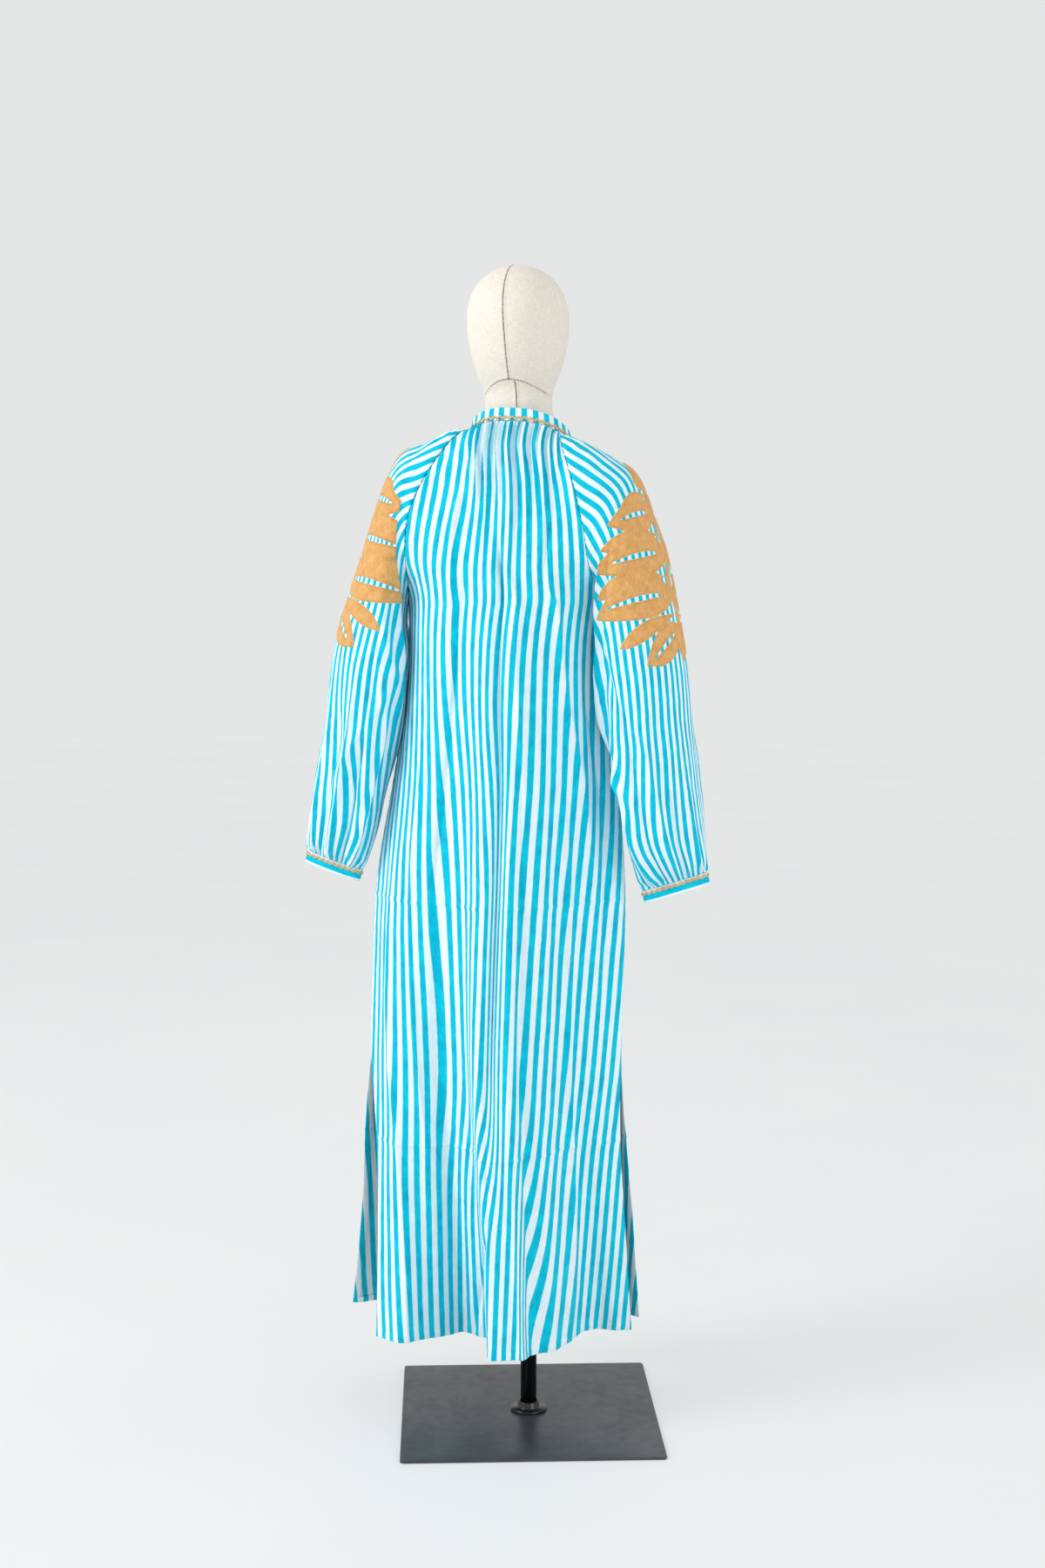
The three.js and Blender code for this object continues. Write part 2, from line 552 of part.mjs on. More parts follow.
// A zigzag braid. place gives a point on the cloth and the directions up and out, for a length along it
function ricrac(place, length, closed, turnOver) {
  const { wave, swing, width, thick, gap } = RICRAC;
  const waves = Math.round(length / wave);
  const count = 2 * waves;
  const positions = [];
  const index = [];
  const corners = closed ? count : count + 1;
  for (let k = 0; k < corners; k += 1) {
    const { point, up, out } = place(k / count);
    const middle = k % 2 === 0 ? swing : -swing;
    for (const [rise, depth] of [
      [-width / 2, 0],
      [width / 2, 0],
      [width / 2, thick],
      [-width / 2, thick],
    ]) {
      const p = point.clone().addScaledVector(up, middle + rise).addScaledVector(out, gap + depth);
      positions.push(p.x, p.y, p.z);
    }
  }
  const at = (k, corner) => 4 * (k % corners) + (corner % 4);
  for (let k = 0; k < count; k += 1) {
    for (let c = 0; c < 4; c += 1) {
      const [a, b, d, e] = [at(k, c), at(k, c + 1), at(k + 1, c + 1), at(k + 1, c)];
      index.push(...(turnOver ? [a, d, b, a, e, d] : [a, b, d, a, d, e]));
    }
  }
  if (!closed) {
    index.push(at(0, 0), at(0, 2), at(0, 1), at(0, 0), at(0, 3), at(0, 2));
    const k = count;
    index.push(at(k, 0), at(k, 1), at(k, 2), at(k, 0), at(k, 2), at(k, 3));
  }
  return closedGeometry(positions, index);
}

// The sleeve motif is a wavy stem with pairs of broad leaves. It is drawn flat, across and up, and then
// rolled round the arm.
const LEAVES = [
  { at: 0.06, length: 44, width: 40, tilt: -2, bend: 10 },
  { at: 0.29, length: 96, width: 54, tilt: 8, bend: 32 },
  { at: 0.53, length: 134, width: 60, tilt: 10, bend: 50 },
  { at: 0.77, length: 146, width: 60, tilt: 8, bend: 54 },
  { at: 0.95, length: 104, width: 46, tilt: -20, bend: 24 },
];
const END_LEAF = { at: 0.97, length: 44, width: 32, tilt: -92, bend: 0 };
const LEAF_POINTS = 4;
const LEAF_SHAPE = 0.85;
const STEM_STEPS = 9;
const STEM_WAVE = { swing: 5, bends: 5 };

function stemPoint(f) {
  const wave = STEM_WAVE.swing * Math.sin(f * STEM_WAVE.bends * Math.PI);
  return [APPLIQUE.drift * f + wave, mix(APPLIQUE.top, APPLIQUE.bottom, f)];
}

// A leaf grows to the right from its root and bends down; side -1 turns it to the left
function leafOutline(root, side, { length, width, tilt, bend }) {
  const angle = THREE.MathUtils.degToRad(tilt);
  const [cos, sin] = [Math.cos(angle), Math.sin(angle)];
  const edge = (g, half) => {
    const x = g * length;
    const y = (half * width * Math.sin(Math.PI * g ** LEAF_SHAPE)) / 2 - bend * g * g;
    return [root[0] + side * (x * cos - y * sin), root[1] + x * sin + y * cos];
  };
  const places = steps(0, 1, LEAF_POINTS);
  const lower = places.map((g) => edge(g, -1));
  const upper = places.slice(1, -1).reverse().map((g) => edge(g, 1));
  return [...lower, ...upper];
}

// One flat outline, made thick and rolled round the arm: it cuts through the sheet from inside to outside
function cutterOf(outline, side) {
  const points = outline.map(([across, z]) => new THREE.Vector2(across, z));
  const shape = new THREE.Shape(THREE.ShapeUtils.isClockWise(points) ? points.reverse() : points);
  const { inner, depth, round } = CUTTER;
  const geometry = new THREE.ExtrudeGeometry(shape, { depth, bevelEnabled: false });
  const { outward, lift, axisX, axisSlope } = ARM[side];
  const place = geometry.attributes.position;
  for (let i = 0; i < place.count; i += 1) {
    const turn = place.getX(i) / round;
    const z = place.getY(i) + lift;
    const radius = inner + place.getZ(i);
    const x = axisX + axisSlope * (APPLIQUE.top - z) + outward * radius * Math.cos(turn);
    place.setXYZ(i, x, ARM_Y + radius * Math.sin(turn), z);
  }
  return toManifold(outward > 0 ? geometry : flipped(geometry));
}

// Turns every face round, since the left arm's cutter is a mirror image
function flipped(geometry) {
  const turned = geometry.index ? geometry.toNonIndexed() : geometry;
  const place = turned.attributes.position;
  for (let i = 0; i < place.count; i += 3) {
    const [x, y, z] = [place.getX(i), place.getY(i), place.getZ(i)];
    place.setXYZ(i, place.getX(i + 1), place.getY(i + 1), place.getZ(i + 1));
    place.setXYZ(i + 1, x, y, z);
  }
  return turned;
}

function motif(side) {
  const line = steps(0, 1, STEM_STEPS).map(stemPoint);
  const half = APPLIQUE.stem / 2;
  const near = line.map(([across, z]) => [across - half, z]);
  const far = line.map(([across, z]) => [across + half, z]).reverse();
  const outlines = [[...near, ...far]];
  for (const leaf of LEAVES) {
    outlines.push(leafOutline(stemPoint(leaf.at), 1, leaf));
    outlines.push(leafOutline(stemPoint(leaf.at), -1, leaf));
  }
  outlines.push(leafOutline(stemPoint(END_LEAF.at), 1, END_LEAF));
  return outlines.map((outline) => cutterOf(outline, side)).reduce((a, b) => a.add(b));
}

const MOTIF_SPAN = { from: 0.4, to: 1.5 }; // the rows of the sleeve that the motif lies on
const MOTIF_ROWS = SLEEVE_ROWS.filter((t) => t > MOTIF_SPAN.from && t < MOTIF_SPAN.to).length;
const MOTIF_MARGIN = 2;

function applique(grid, normals, side) {
  const first = SLEEVE_ROWS.findIndex((t) => t > MOTIF_SPAN.from);
  const columns = [MOTIF_MARGIN, SLEEVE_COLUMNS + 1 - MOTIF_MARGIN];
  const crop = (lines) => lines.slice(first, first + MOTIF_ROWS).map((line) => line.slice(...columns));
  const { thick, gap } = APPLIQUE;
  const sheet = wall(crop(grid), crop(normals), thick, side === "left", () => true, gap + thick);
  return fromManifold(toManifold(sheet).intersect(motif(side)));
}

function toManifold(geometry) {
  const bare = geometry.clone();
  bare.deleteAttribute("normal");
  bare.deleteAttribute("uv");
  const merged = mergeVertices(bare, 1e-4);
  return new wasm.Manifold(
    new wasm.Mesh({
      numProp: 3,
      vertProperties: merged.attributes.position.array,
      triVerts: new Uint32Array(merged.index.array),
    }),
  );
}

function fromManifold(solid) {
  const mesh = solid.getMesh();
  return closedGeometry(Array.from(mesh.vertProperties), Array.from(mesh.triVerts));
}

function trims(sleeves, sleeveNormals) {
  const group = new THREE.Group();
  const cloth = material(COLOUR.cloth, 0.85);
  const trim = material(COLOUR.trim, 0.9);
  const band = neckbandGrid();
  const bandNormals = normalsOf(band, true);
  group.add(named("neckband", wall(band, bandNormals, NECKBAND.thick, true), cloth));
  const braidDegrees = 450 - 2 * NECKBAND.openDegrees - 90;
  const neckPlace = (f) => {
    const degrees = 90 + NECKBAND.openDegrees + f * braidDegrees;
    const point = neckPoint(degrees);
    const angle = THREE.MathUtils.degToRad(degrees);
    const out = new THREE.Vector3(Math.cos(angle), Math.sin(angle), 0);
    point.z += NECK_BRAID.rise;
    return { point, up: new THREE.Vector3(0, 0, 1), out };
  };
  group.add(named("ricrac_neck", ricrac(neckPlace, NECK_BRAID.length, false, false), trim));
  SIDES.forEach((side, k) => {
    const frame = cuffFrame(side);
    const round = steps(0, 1, CUFF.columns).slice(0, -1);
    const loop = (drop) => round.map((u) => cuffPoint(frame, u, drop));
    const loops = [CUFF.start, CUFF.start + CUFF.height].map(loop);
    group.add(named(`cuff_${side}`, tube(loops, CUFF.thick, side === "left"), cloth));
    const cuffPlace = (u) => ({
      point: cuffPoint(frame, u, CUFF_BRAID.drop),
      up: frame.down.clone().negate(),
      out: cuffOut(frame, u),
    });
    group.add(named(`ricrac_cuff_${side}`, ricrac(cuffPlace, CUFF_BRAID.length, true, side === "left"), trim));
    group.add(named(`applique_${side}`, applique(sleeves[k], sleeveNormals[k], side), trim));
  });
  return group;
}

// The dress form: a torso and a head on a neck, from sections up the middle
const TORSO = [
  { z: 780, x: -30, y: 0, side: 96, back: 62, front: 62, power: 2 },
  { z: 790, x: -30, y: 0, side: 108, back: 76, front: 74, power: 2 },
  { z: 860, x: -30, y: 0, side: 122, back: 92, front: 86, power: 2 },
  { z: 950, x: -28, y: 0, side: 112, back: 84, front: 80, power: 2 },
  { z: 1030, x: -26, y: 0, side: 98, back: 72, front: 76, power: 2 },
  { z: 1100, x: -24, y: 0, side: 102, back: 74, front: 88, power: 2 },
  { z: 1180, x: -20, y: 0, side: 112, back: 84, front: 108, power: 2 },
  { z: 1250, x: -16, y: 0, side: 122, back: 84, front: 104, power: 2 },
  { z: 1310, x: -14, y: 0, side: 136, back: 82, front: 88, power: 2 },
  { z: 1355, x: -12, y: 0, side: 148, back: 74, front: 76, power: 2 },
  { z: 1384, x: -12, y: 0, side: 148, back: 66, front: 64, power: 1.85 },
  { z: 1400, x: -12, y: 0, side: 140, back: 60, front: 56, power: 1.7 },
  { z: 1414, x: -12, y: 0, side: 124, back: 54, front: 48, power: 1.5 },
  { z: 1425, x: -12, y: 0, side: 100, back: 52, front: 46, power: 1.4 },
  { z: 1435, x: -12, y: 1, side: 73, back: 52, front: 46, power: 1.5 },
  { z: 1452, x: -12, y: 2, side: 59, back: 51, front: 47, power: 1.9 },
];
const HEAD = [
  { z: 1452.3, x: -14, y: 2, side: 58, back: 50, front: 48, power: 2 },
  { z: 1472, x: -15, y: 4, side: 52, back: 48, front: 46, power: 2 },
  { z: 1496, x: -16, y: 6, side: 49, back: 48, front: 46, power: 2 },
  { z: 1518, x: -17, y: 8, side: 50, back: 51, front: 50, power: 2 },
  { z: 1540, x: -18, y: 10, side: 58, back: 66, front: 66, power: 2 },
  { z: 1565, x: -18, y: 11, side: 66, back: 80, front: 78, power: 2 },
  { z: 1598, x: -18, y: 11, side: 72, back: 90, front: 87, power: 2 },
  { z: 1627, x: -18, y: 10, side: 73, back: 92, front: 87, power: 2 },
  { z: 1653, x: -18, y: 9, side: 68, back: 84, front: 80, power: 2 },
  { z: 1674, x: -18, y: 8, side: 56, back: 68, front: 64, power: 2 },
  { z: 1690, x: -18, y: 7, side: 37, back: 45, front: 42, power: 2 },
  { z: 1698, x: -18, y: 6, side: 16, back: 20, front: 19, power: 2 },
];

function lofted(table, count) {
  const positions = [];
  const index = [];
  const bend = (value, power) => Math.sign(value) * Math.abs(value) ** (2 / power);
  table.forEach(({ z, x, y, side, back, front, power }) => {
    for (let j = 0; j < count; j += 1) {
      const angle = (2 * Math.PI * j) / count;
      const sine = bend(Math.sin(angle), power);
      positions.push(x + side * bend(Math.cos(angle), power), y + (sine < 0 ? back : front) * sine, z);
    }
  });
  const last = table.length - 1;
  for (let i = 0; i < last; i += 1) {
    for (let j = 0; j < count; j += 1) {
      const [a, b] = [i * count + j, i * count + ((j + 1) % count)];
      index.push(a, b, b + count, a, b + count, a + count);
    }
  }
  for (const [row, flip] of [
    [0, true],
    [last, false],
  ]) {
    const centre = positions.length / 3;
    positions.push(table[row].x, table[row].y, table[row].z);
    for (let j = 0; j < count; j += 1) {
      const [a, b] = [row * count + j, row * count + ((j + 1) % count)];
      index.push(...(flip ? [centre, b, a] : [centre, a, b]));
    }
  }
  return closedGeometry(positions, index);
}

function form() {
  const group = new THREE.Group();
  const linen = material(COLOUR.linen, 0.9);
  group.add(named("form_torso", lofted(TORSO, 28), linen));
  group.add(named("form_head", lofted(HEAD, 24), linen));
  return group;
}

// The stand: a square plate, a flange with a collar, and the pole up to the torso
const PLATE_TURN = 15.3;

function plateOutline(side, radius) {
  const shape = new THREE.Shape();
  const far = side / 2 - radius;
  [
    [far, -far, -90],
    [far, far, 0],
    [-far, far, 90],
    [-far, -far, 180],
  ].forEach(([x, y, from]) => {
    const start = THREE.MathUtils.degToRad(from);
    shape.absarc(x, y, radius, start, start + Math.PI / 2, false);
  });
  return shape;
}

function stand() {
  const group = new THREE.Group();
  const steel = material(COLOUR.steel, 0.35, 0.6);
  const { side, thick, cornerRadius } = PLATE;
  const flat = plateOutline(side, cornerRadius);
  const plate = new THREE.ExtrudeGeometry(flat, { depth: thick, bevelEnabled: false, curveSegments: 5 });
  const basePlate = named("base_plate", plate, steel);
  basePlate.rotation.z = THREE.MathUtils.degToRad(PLATE_TURN);
  group.add(basePlate);

  const hole = POLE.radius + SEAM;
  const collarTop = FLANGE.thick + FLANGE.collarHeight;
  const profile = [
    [hole, 0],
    [FLANGE.radius, 0],
    [FLANGE.radius, FLANGE.thick],
    [FLANGE.collarRadius, FLANGE.thick],
    [FLANGE.collarRadius, collarTop],
    [hole, collarTop],
    [hole, 0],
  ].map(([x, y]) => new THREE.Vector2(x, y));
  const foot = thick + SEAM;
  const flange = named("pole_flange", new THREE.LatheGeometry(profile, 28), steel);
  flange.rotation.x = Math.PI / 2;
  flange.position.z = foot;
  group.add(flange);

  const height = TORSO[0].z - SEAM - foot;
  const pole = named("pole", new THREE.CylinderGeometry(POLE.radius, POLE.radius, height, 24), steel);
  pole.rotation.x = Math.PI / 2;
  pole.position.z = foot + height / 2;
  group.add(pole);
  return group;
}

const part = new THREE.Group();
const { group, sleeves, sleeveNormals } = kaftan();
part.add(group, trims(sleeves, sleeveNormals), form(), stand());
export default part;
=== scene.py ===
import math

import bpy
import numpy as np
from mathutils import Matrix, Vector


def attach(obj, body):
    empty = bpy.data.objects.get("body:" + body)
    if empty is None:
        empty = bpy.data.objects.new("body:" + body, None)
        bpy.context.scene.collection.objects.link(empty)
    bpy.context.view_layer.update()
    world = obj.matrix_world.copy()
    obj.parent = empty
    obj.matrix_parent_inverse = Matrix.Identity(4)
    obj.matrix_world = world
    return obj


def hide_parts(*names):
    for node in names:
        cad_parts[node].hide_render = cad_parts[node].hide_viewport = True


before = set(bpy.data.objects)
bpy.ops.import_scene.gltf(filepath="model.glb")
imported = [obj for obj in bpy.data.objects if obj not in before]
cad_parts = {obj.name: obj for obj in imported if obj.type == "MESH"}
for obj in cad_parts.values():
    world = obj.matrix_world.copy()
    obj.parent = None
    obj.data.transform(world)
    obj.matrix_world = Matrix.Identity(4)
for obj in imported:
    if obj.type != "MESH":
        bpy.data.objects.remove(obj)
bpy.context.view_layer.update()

# Lengths are millimetres, and metres once a mesh is made. t and v run down a sleeve and a body panel: 0 at the
# neck,
# 1 at the underarm and 2 at the lower end. u and s run across them, from 0 to 1 and from -1 to 1.
WALL = 1.2
HEM_Z, UNDERARM_Z = 122.0, 1207.0
SLIT_V, FRONT_SLIT_V = 1.61, 0.62
NECKBAND_HEIGHT = 18.0
STRIPE = 17.0  # a cyan stripe and a white one
TURNED, HEM_STEP = 10.0, 11.5  # cloth turned in along a free border, and where that shows as a step
BACK_MIDDLE = 152  # the middle of the back's tucks, from the flat cut's own zero line
CAMERA = dict(around=13, far=3.077, high=1.1957, pan=13.17, tilt=-4.6, lens=48.2)


def table(names, *values):
    return {name: np.array([row[k] for row in values], float) for k, name in enumerate(names.split())}


def records(names, *values):
    return [dict(zip(names.split(), row)) for row in values]


def sample(columns, key, at):
    """Values of a table at a place between its rows, along a smooth curve through them."""
    keys = columns[key]
    at = np.asarray(at, float)
    i = np.clip(np.searchsorted(keys, at, side="left") - 1, 0, len(keys) - 2)
    j, before, after = i + 1, np.maximum(i - 1, 0), np.minimum(i + 2, len(keys) - 1)
    span = keys[j] - keys[i]
    f = np.clip((at - keys[i]) / span, 0, 1)
    out = {}
    for name, c in columns.items():
        slope_a = (c[j] - c[before]) / (keys[j] - keys[before])
        slope_b = (c[after] - c[i]) / (keys[after] - keys[i])
        out[name] = (
            (2 * f**3 - 3 * f**2 + 1) * c[i]
            + (f**3 - 2 * f**2 + f) * span * slope_a
            + (3 * f**2 - 2 * f**3) * c[j]
            + (f**3 - f**2) * span * slope_b
        )
    return out


def mix(a, b, f):
    return a + (b - a) * f


def ease(x):
    f = np.clip(x, 0, 1)
    return f * f * (3 - 2 * f)


def between(x, start, full, last, stop):
    """Rises from start to full, and falls again from last to stop."""
    return ease((x - start) / (full - start)) * ease((stop - x) / (stop - last))


def bell(x, width):
    return np.exp(-((x / width) ** 2))


def waves(x, length):
    return np.cos(2 * np.pi * x / length)


def vec(*parts):
    return np.stack(np.broadcast_arrays(*parts), axis=-1).astype(float)


def unit(v):
    return v / np.maximum(np.linalg.norm(v, axis=-1, keepdims=True), 1e-12)


NECK = dict(x=-12, y=6, side=76, back=66, front=84)
NECK_HEIGHT = table("sine z", (-1, 1471), (-0.5, 1454), (0, 1436), (0.6, 1410), (1, 1386))
NECK_ANGLE = dict(right_back=-31, right_front=32, left_front=148, left_back=211)


def neck_point(degrees):
    angle = np.radians(degrees)
    sine, cosine = np.sin(angle), np.cos(angle)
    lift = 8 * np.maximum(0, -cosine)
    reach = np.where(sine < 0, NECK["back"], NECK["front"])
    z = sample(NECK_HEIGHT, "sine", sine)["z"] + lift
    return vec(NECK["x"] + NECK["side"] * cosine, NECK["y"] + reach * sine, z)


SLEEVE_COLUMNS = "t seam_x seam_y seam_z half deep out_x out_y out_z turn"
SLEEVE = {
    "right": table(
        SLEEVE_COLUMNS,
        (0.0, 48, 12, 1448, 40, 42, 64, 6, 1440, 0),
        (0.25, 66, 3, 1413, 63, 66, 98, 3, 1435, 0),
        (0.5, 86, 2, 1368, 82, 87, 128, 2, 1421, 0),
        (0.7, 100, -3, 1316, 84, 90, 160, 0, 1397, 0),
        (0.85, 109, -8, 1264, 70, 86, 178, -4, 1352, 3),
        (1.0, 118, -14, 1207, 0, 79, 201, -10, 1280, 8),
        (1.25, 124, -20, 1098, 0, 72, 230, -18, 1136, 10),
        (1.5, 137, -22, 985, 0, 68, 242, -20, 1008, 8),
        (1.75, 152, -22, 872, 0, 58, 256, -19, 896, 6),
        (1.9, 165, -20, 819, 0, 36, 264, -18, 851, 4),
        (2.0, 172, -18, 797, 0, 13, 267, -18, 828, 2),
    ),
    "left": table(
        SLEEVE_COLUMNS,
        (0.0, -72, 12, 1456, 40, 42, -88, 6, 1448, 0),
        (0.25, -104, 3, 1428, 58, 62, -117, 3, 1454, 0),
        (0.5, -136, 2, 1382, 80, 84, -150, 2, 1445, 0),
        (0.7, -158, -3, 1330, 82, 88, -185, 0, 1433, 0),
        (0.85, -168, -8, 1272, 69, 86, -211, -4, 1392, -3),
        (1.0, -179, -14, 1207, 0, 79, -244, -10, 1296, -8),
        (1.25, -192, -20, 1100, 0, 72, -292, -18, 1144, -10),
        (1.5, -203, -22, 990, 0, 68, -308, -20, 1020, -8),
        (1.75, -223, -22, 885, 0, 58, -325, -19, 912, -6),
        (1.9, -240, -20, 836, 0, 36, -332, -18, 866, -4),
        (2.0, -250, -18, 817, 0, 13, -335, -18, 845, -2),
    ),
}
SLEEVE_FOLDS = records(
    "u start full end width depth",
    (0.17, 0.95, 1.25, 1.9, 0.05, 9),
    (0.34, 1.15, 1.5, 2.0, 0.05, -7),
    (0.62, 1.2, 1.6, 2.0, 0.06, 6),
    (0.8, 1.0, 1.4, 1.9, 0.06, -7),
)


def sleeve_shape(side, u, t):
    r = sample(SLEEVE[side], "t", t)
    seam, outer = vec(r["seam_x"], r["seam_y"], r["seam_z"]), vec(r["out_x"], r["out_y"], r["out_z"])
    half = np.where(np.asarray(t) < 1, np.maximum(r["half"], 0), 0)
    spread = np.arccos(np.clip(half / r["deep"], 0, 1))
    reach = (outer - seam) / (1 + np.sin(spread))[..., None]
    middle = outer - reach
    turn = np.radians(r["turn"])
    drop = -24 * np.maximum(0, 1 - np.asarray(t) / 0.8) ** 1.5
    across = vec(np.sin(turn) * r["deep"], np.cos(turn) * r["deep"], drop)
    angle = mix(-spread, np.pi + spread, u)
    point = middle - across * np.cos(angle)[..., None] + reach * np.sin(angle)[..., None]
    out = unit(point - middle)
    push = 0.0
    for fold in SLEEVE_FOLDS:
        along = ease((t - fold["start"]) / (fold["full"] - fold["start"])) * ease((fold["end"] + 0.1 - t) / 0.3)
        push = push + fold["depth"] * along * np.exp(-(((u - fold["u"]) / fold["width"]) ** 2))
    push = push * np.minimum(1, 8 * np.minimum(u, 1 - u))
    return point + out * push[..., None]


def neck_hold(v):
    return ease(1 - v / 0.25)[..., None]


def sleeve_point(side, u, t):
    u, t = np.broadcast_arrays(u, t)
    angle = mix(NECK_ANGLE[side + "_back"], NECK_ANGLE[side + "_front"], u)
    return mix(sleeve_shape(side, u, t), neck_point(angle), neck_hold(t))


SIDE = table(
    "v left_x left_y right_x right_y",
    (1.0, -178.2, -14, 117.2, -14),
    (1.06, -181, -10, 113, -8),
    (1.12, -187, -8, 116, -4),
    (1.19, -197, -8, 126, 0),
    (1.24, -206, -10, 134, 2),
    (1.36, -228, -14, 144, 4),
    (1.48, -236, -18, 143, 6),
    (1.61, -236, -26, 138, 10),
    (1.72, -225, -38, 135, 20),
    (1.84, -219, -50, 140, 34),
    (2.0, -217, -62, 148, 48),
)
SLIT_SPREAD = table(
    "v left_x left_y right_x right_y",
    (SLIT_V, 0, 0, 0, 0),
    (1.72, -28, 34, 5, 18),
    (1.84, -49, 76, 5, 36),
    (2.0, -82, 134, 2, 56),
)
BODY = {
    "back": table(
        "v bulge rise power",
        (0.0, 32, -8, 2.0),
        (0.25, 24, -2, 2.2),
        (0.5, 22, 0, 2.6),
        (0.7, 27, 0, 2.8),
        (0.85, 42, 0, 2.8),
        (1.0, 106, 0, 3.0),
        (1.12, 116, 0, 2.8),
        (1.24, 121, 0, 2.6),
        (1.48, 108, 0, 2.4),
        (1.72, 70, 0, 2.2),
        (2.0, 22, 0, 2.0),
    ),
    "front": table(
        "v bulge rise power",
        (0.0, 36, -48, 2.0),
        (0.25, 34, -40, 2.2),
        (0.5, 36, -24, 2.6),
        (0.7, 48, -12, 2.8),
        (0.85, 66, -3, 2.8),
        (1.0, 142, 0, 3.0),
        (1.12, 130, 0, 2.8),
        (1.24, 122, 0, 2.6),
        (1.48, 112, 0, 2.4),
        (1.72, 86, 0, 2.2),
        (2.0, 42, 0, 2.0),
    ),
}
BODY_FOLDS = {
    "back": records(
        "top hem start width depth flat",
        (0.06, 0.13, 0.9, 0.19, 106, 4),
        (0.3, 0.42, 0.95, 0.15, 76, 4),
        (-0.5, -0.78, 1.1, 0.17, 30, 2),
        (-0.26, -0.34, 0.7, 0.11, -26, 2),
        (0.55, 0.72, 0.9, 0.12, -16, 2),
    ),
    "front": records(
        "top hem start width depth flat",
        (-0.5, -0.62, 0.9, 0.16, 34, 2),
        (-0.12, -0.16, 0.9, 0.17, 58, 4),
        (0.3, 0.38, 0.95, 0.15, 46, 2),
        (0.1, 0.12, 0.8, 0.1, -20, 2),
        (0.66, 0.8, 1.0, 0.12, 20, 2),
    ),
}


def panel_edge(panel, side, v):
    upper = sleeve_shape(side, np.full_like(v, 0.0 if panel == "back" else 1.0), np.minimum(v, 0.999999))
    r = sample(SIDE, "v", v)
    lower = vec(r[side + "_x"], r[side + "_y"], mix(UNDERARM_Z, HEM_Z, v - 1))
    if panel == "front":
        open_ = sample(SLIT_SPREAD, "v", v)
        past = v > SLIT_V
        lower[..., 0] += np.where(past, open_[side + "_x"], 0)
        lower[..., 1] += np.where(past, open_[side + "_y"], 0)
    return np.where((v < 1)[..., None], upper, lower)


def body_point(panel, s, v):
    s, v = np.broadcast_arrays(np.asarray(s, float), np.asarray(v, float))
    r = sample(BODY[panel], "v", v)
    outward = -1 if panel == "back" else 1
    f = (s + 1) / 2
    point = mix(panel_edge(panel, "left", v), panel_edge(panel, "right", v), f[..., None])
    push = r["bulge"] * (1 - np.abs(s) ** r["power"])
    for fold in BODY_FOLDS[panel]:
        place = mix(fold["top"], fold["hem"], ease(v / 2))
        grow = np.clip((v - fold["start"]) / (2 - fold["start"]), 0, 1) ** 1.5
        push = push + fold["depth"] * grow * np.exp(-(np.abs((s - place) / fold["width"]) ** fold["flat"]))
    point[..., 1] += outward * push
    point[..., 2] += r["rise"] * (1 - s * s)
    a = NECK_ANGLE
    if panel == "back":
        angle = mix(a["left_back"], a["right_back"] + 360, f)
    else:
        angle = mix(a["left_front"], a["right_front"], f)
    point = mix(point, neck_point(angle), neck_hold(v))
    if panel == "front":
        gape = 11 * ease((FRONT_SLIT_V - v) / FRONT_SLIT_V) * (1 - np.abs(s)) ** 3
        point[..., 0] += np.sign(s) * gape
    return point


def lattice(seed, columns, rows, x, y):
    """Smooth random heights from -1 to 1 over a panel; x and y run from 0 to 1 across and down it."""
    values = np.random.default_rng(seed).uniform(-1, 1, (rows + 3, columns + 3))
    gx, gy = np.clip(x, 0, 1) * columns, np.clip(y, 0, 1) * rows
    i, j = np.floor(gy).astype(int), np.floor(gx).astype(int)
    fy, fx = ease(gy - i), ease(gx - j)
    top = mix(values[i, j], values[i, j + 1], fx)
    low = mix(values[i + 1, j], values[i + 1, j + 1], fx)
    return mix(top, low, fy)


def arc_across(grid):
    step = np.linalg.norm(np.diff(grid, axis=1), axis=-1)
    return np.concatenate([np.zeros((len(grid), 1)), np.cumsum(step, axis=1)], axis=1)


def arc_down(grid):
    step = np.linalg.norm(np.diff(grid, axis=0), axis=-1)
    return np.concatenate([np.zeros((1, grid.shape[1])), np.cumsum(step, axis=0)], axis=0)


def normals_of(grid, flip):
    across = np.gradient(grid, axis=1)
    down = np.gradient(grid, axis=0)
    normal = np.cross(down, across)
    return unit(-normal if flip else normal)


def rows_for(*spans):
    parts = [np.linspace(a, b, n, endpoint=False) for a, b, n in spans]
    return np.concatenate(parts + [[spans[-1][1]]])


RAGLAN = (0.0, 1.0, 100)
HEM_FINE = 1 - 14 / (UNDERARM_Z - HEM_Z)
PRESSED = (782, 418)  # heights of the two lines pressed across the panels by storage folds
PRESSED_V = [1 + (UNDERARM_Z - z + near) / (UNDERARM_Z - HEM_Z) for z in PRESSED for near in range(-5, 6, 2)]
BODY_V = rows_for(RAGLAN, (1.0, SLIT_V, 90), (SLIT_V, 1 + HEM_FINE, 60), (1 + HEM_FINE, 2.0, 12))
BODY_V = np.unique(np.concatenate([BODY_V, PRESSED_V]))
SLEEVE_T = rows_for(RAGLAN, (1.0, 1.8, 90), (1.8, 2.0, 44))


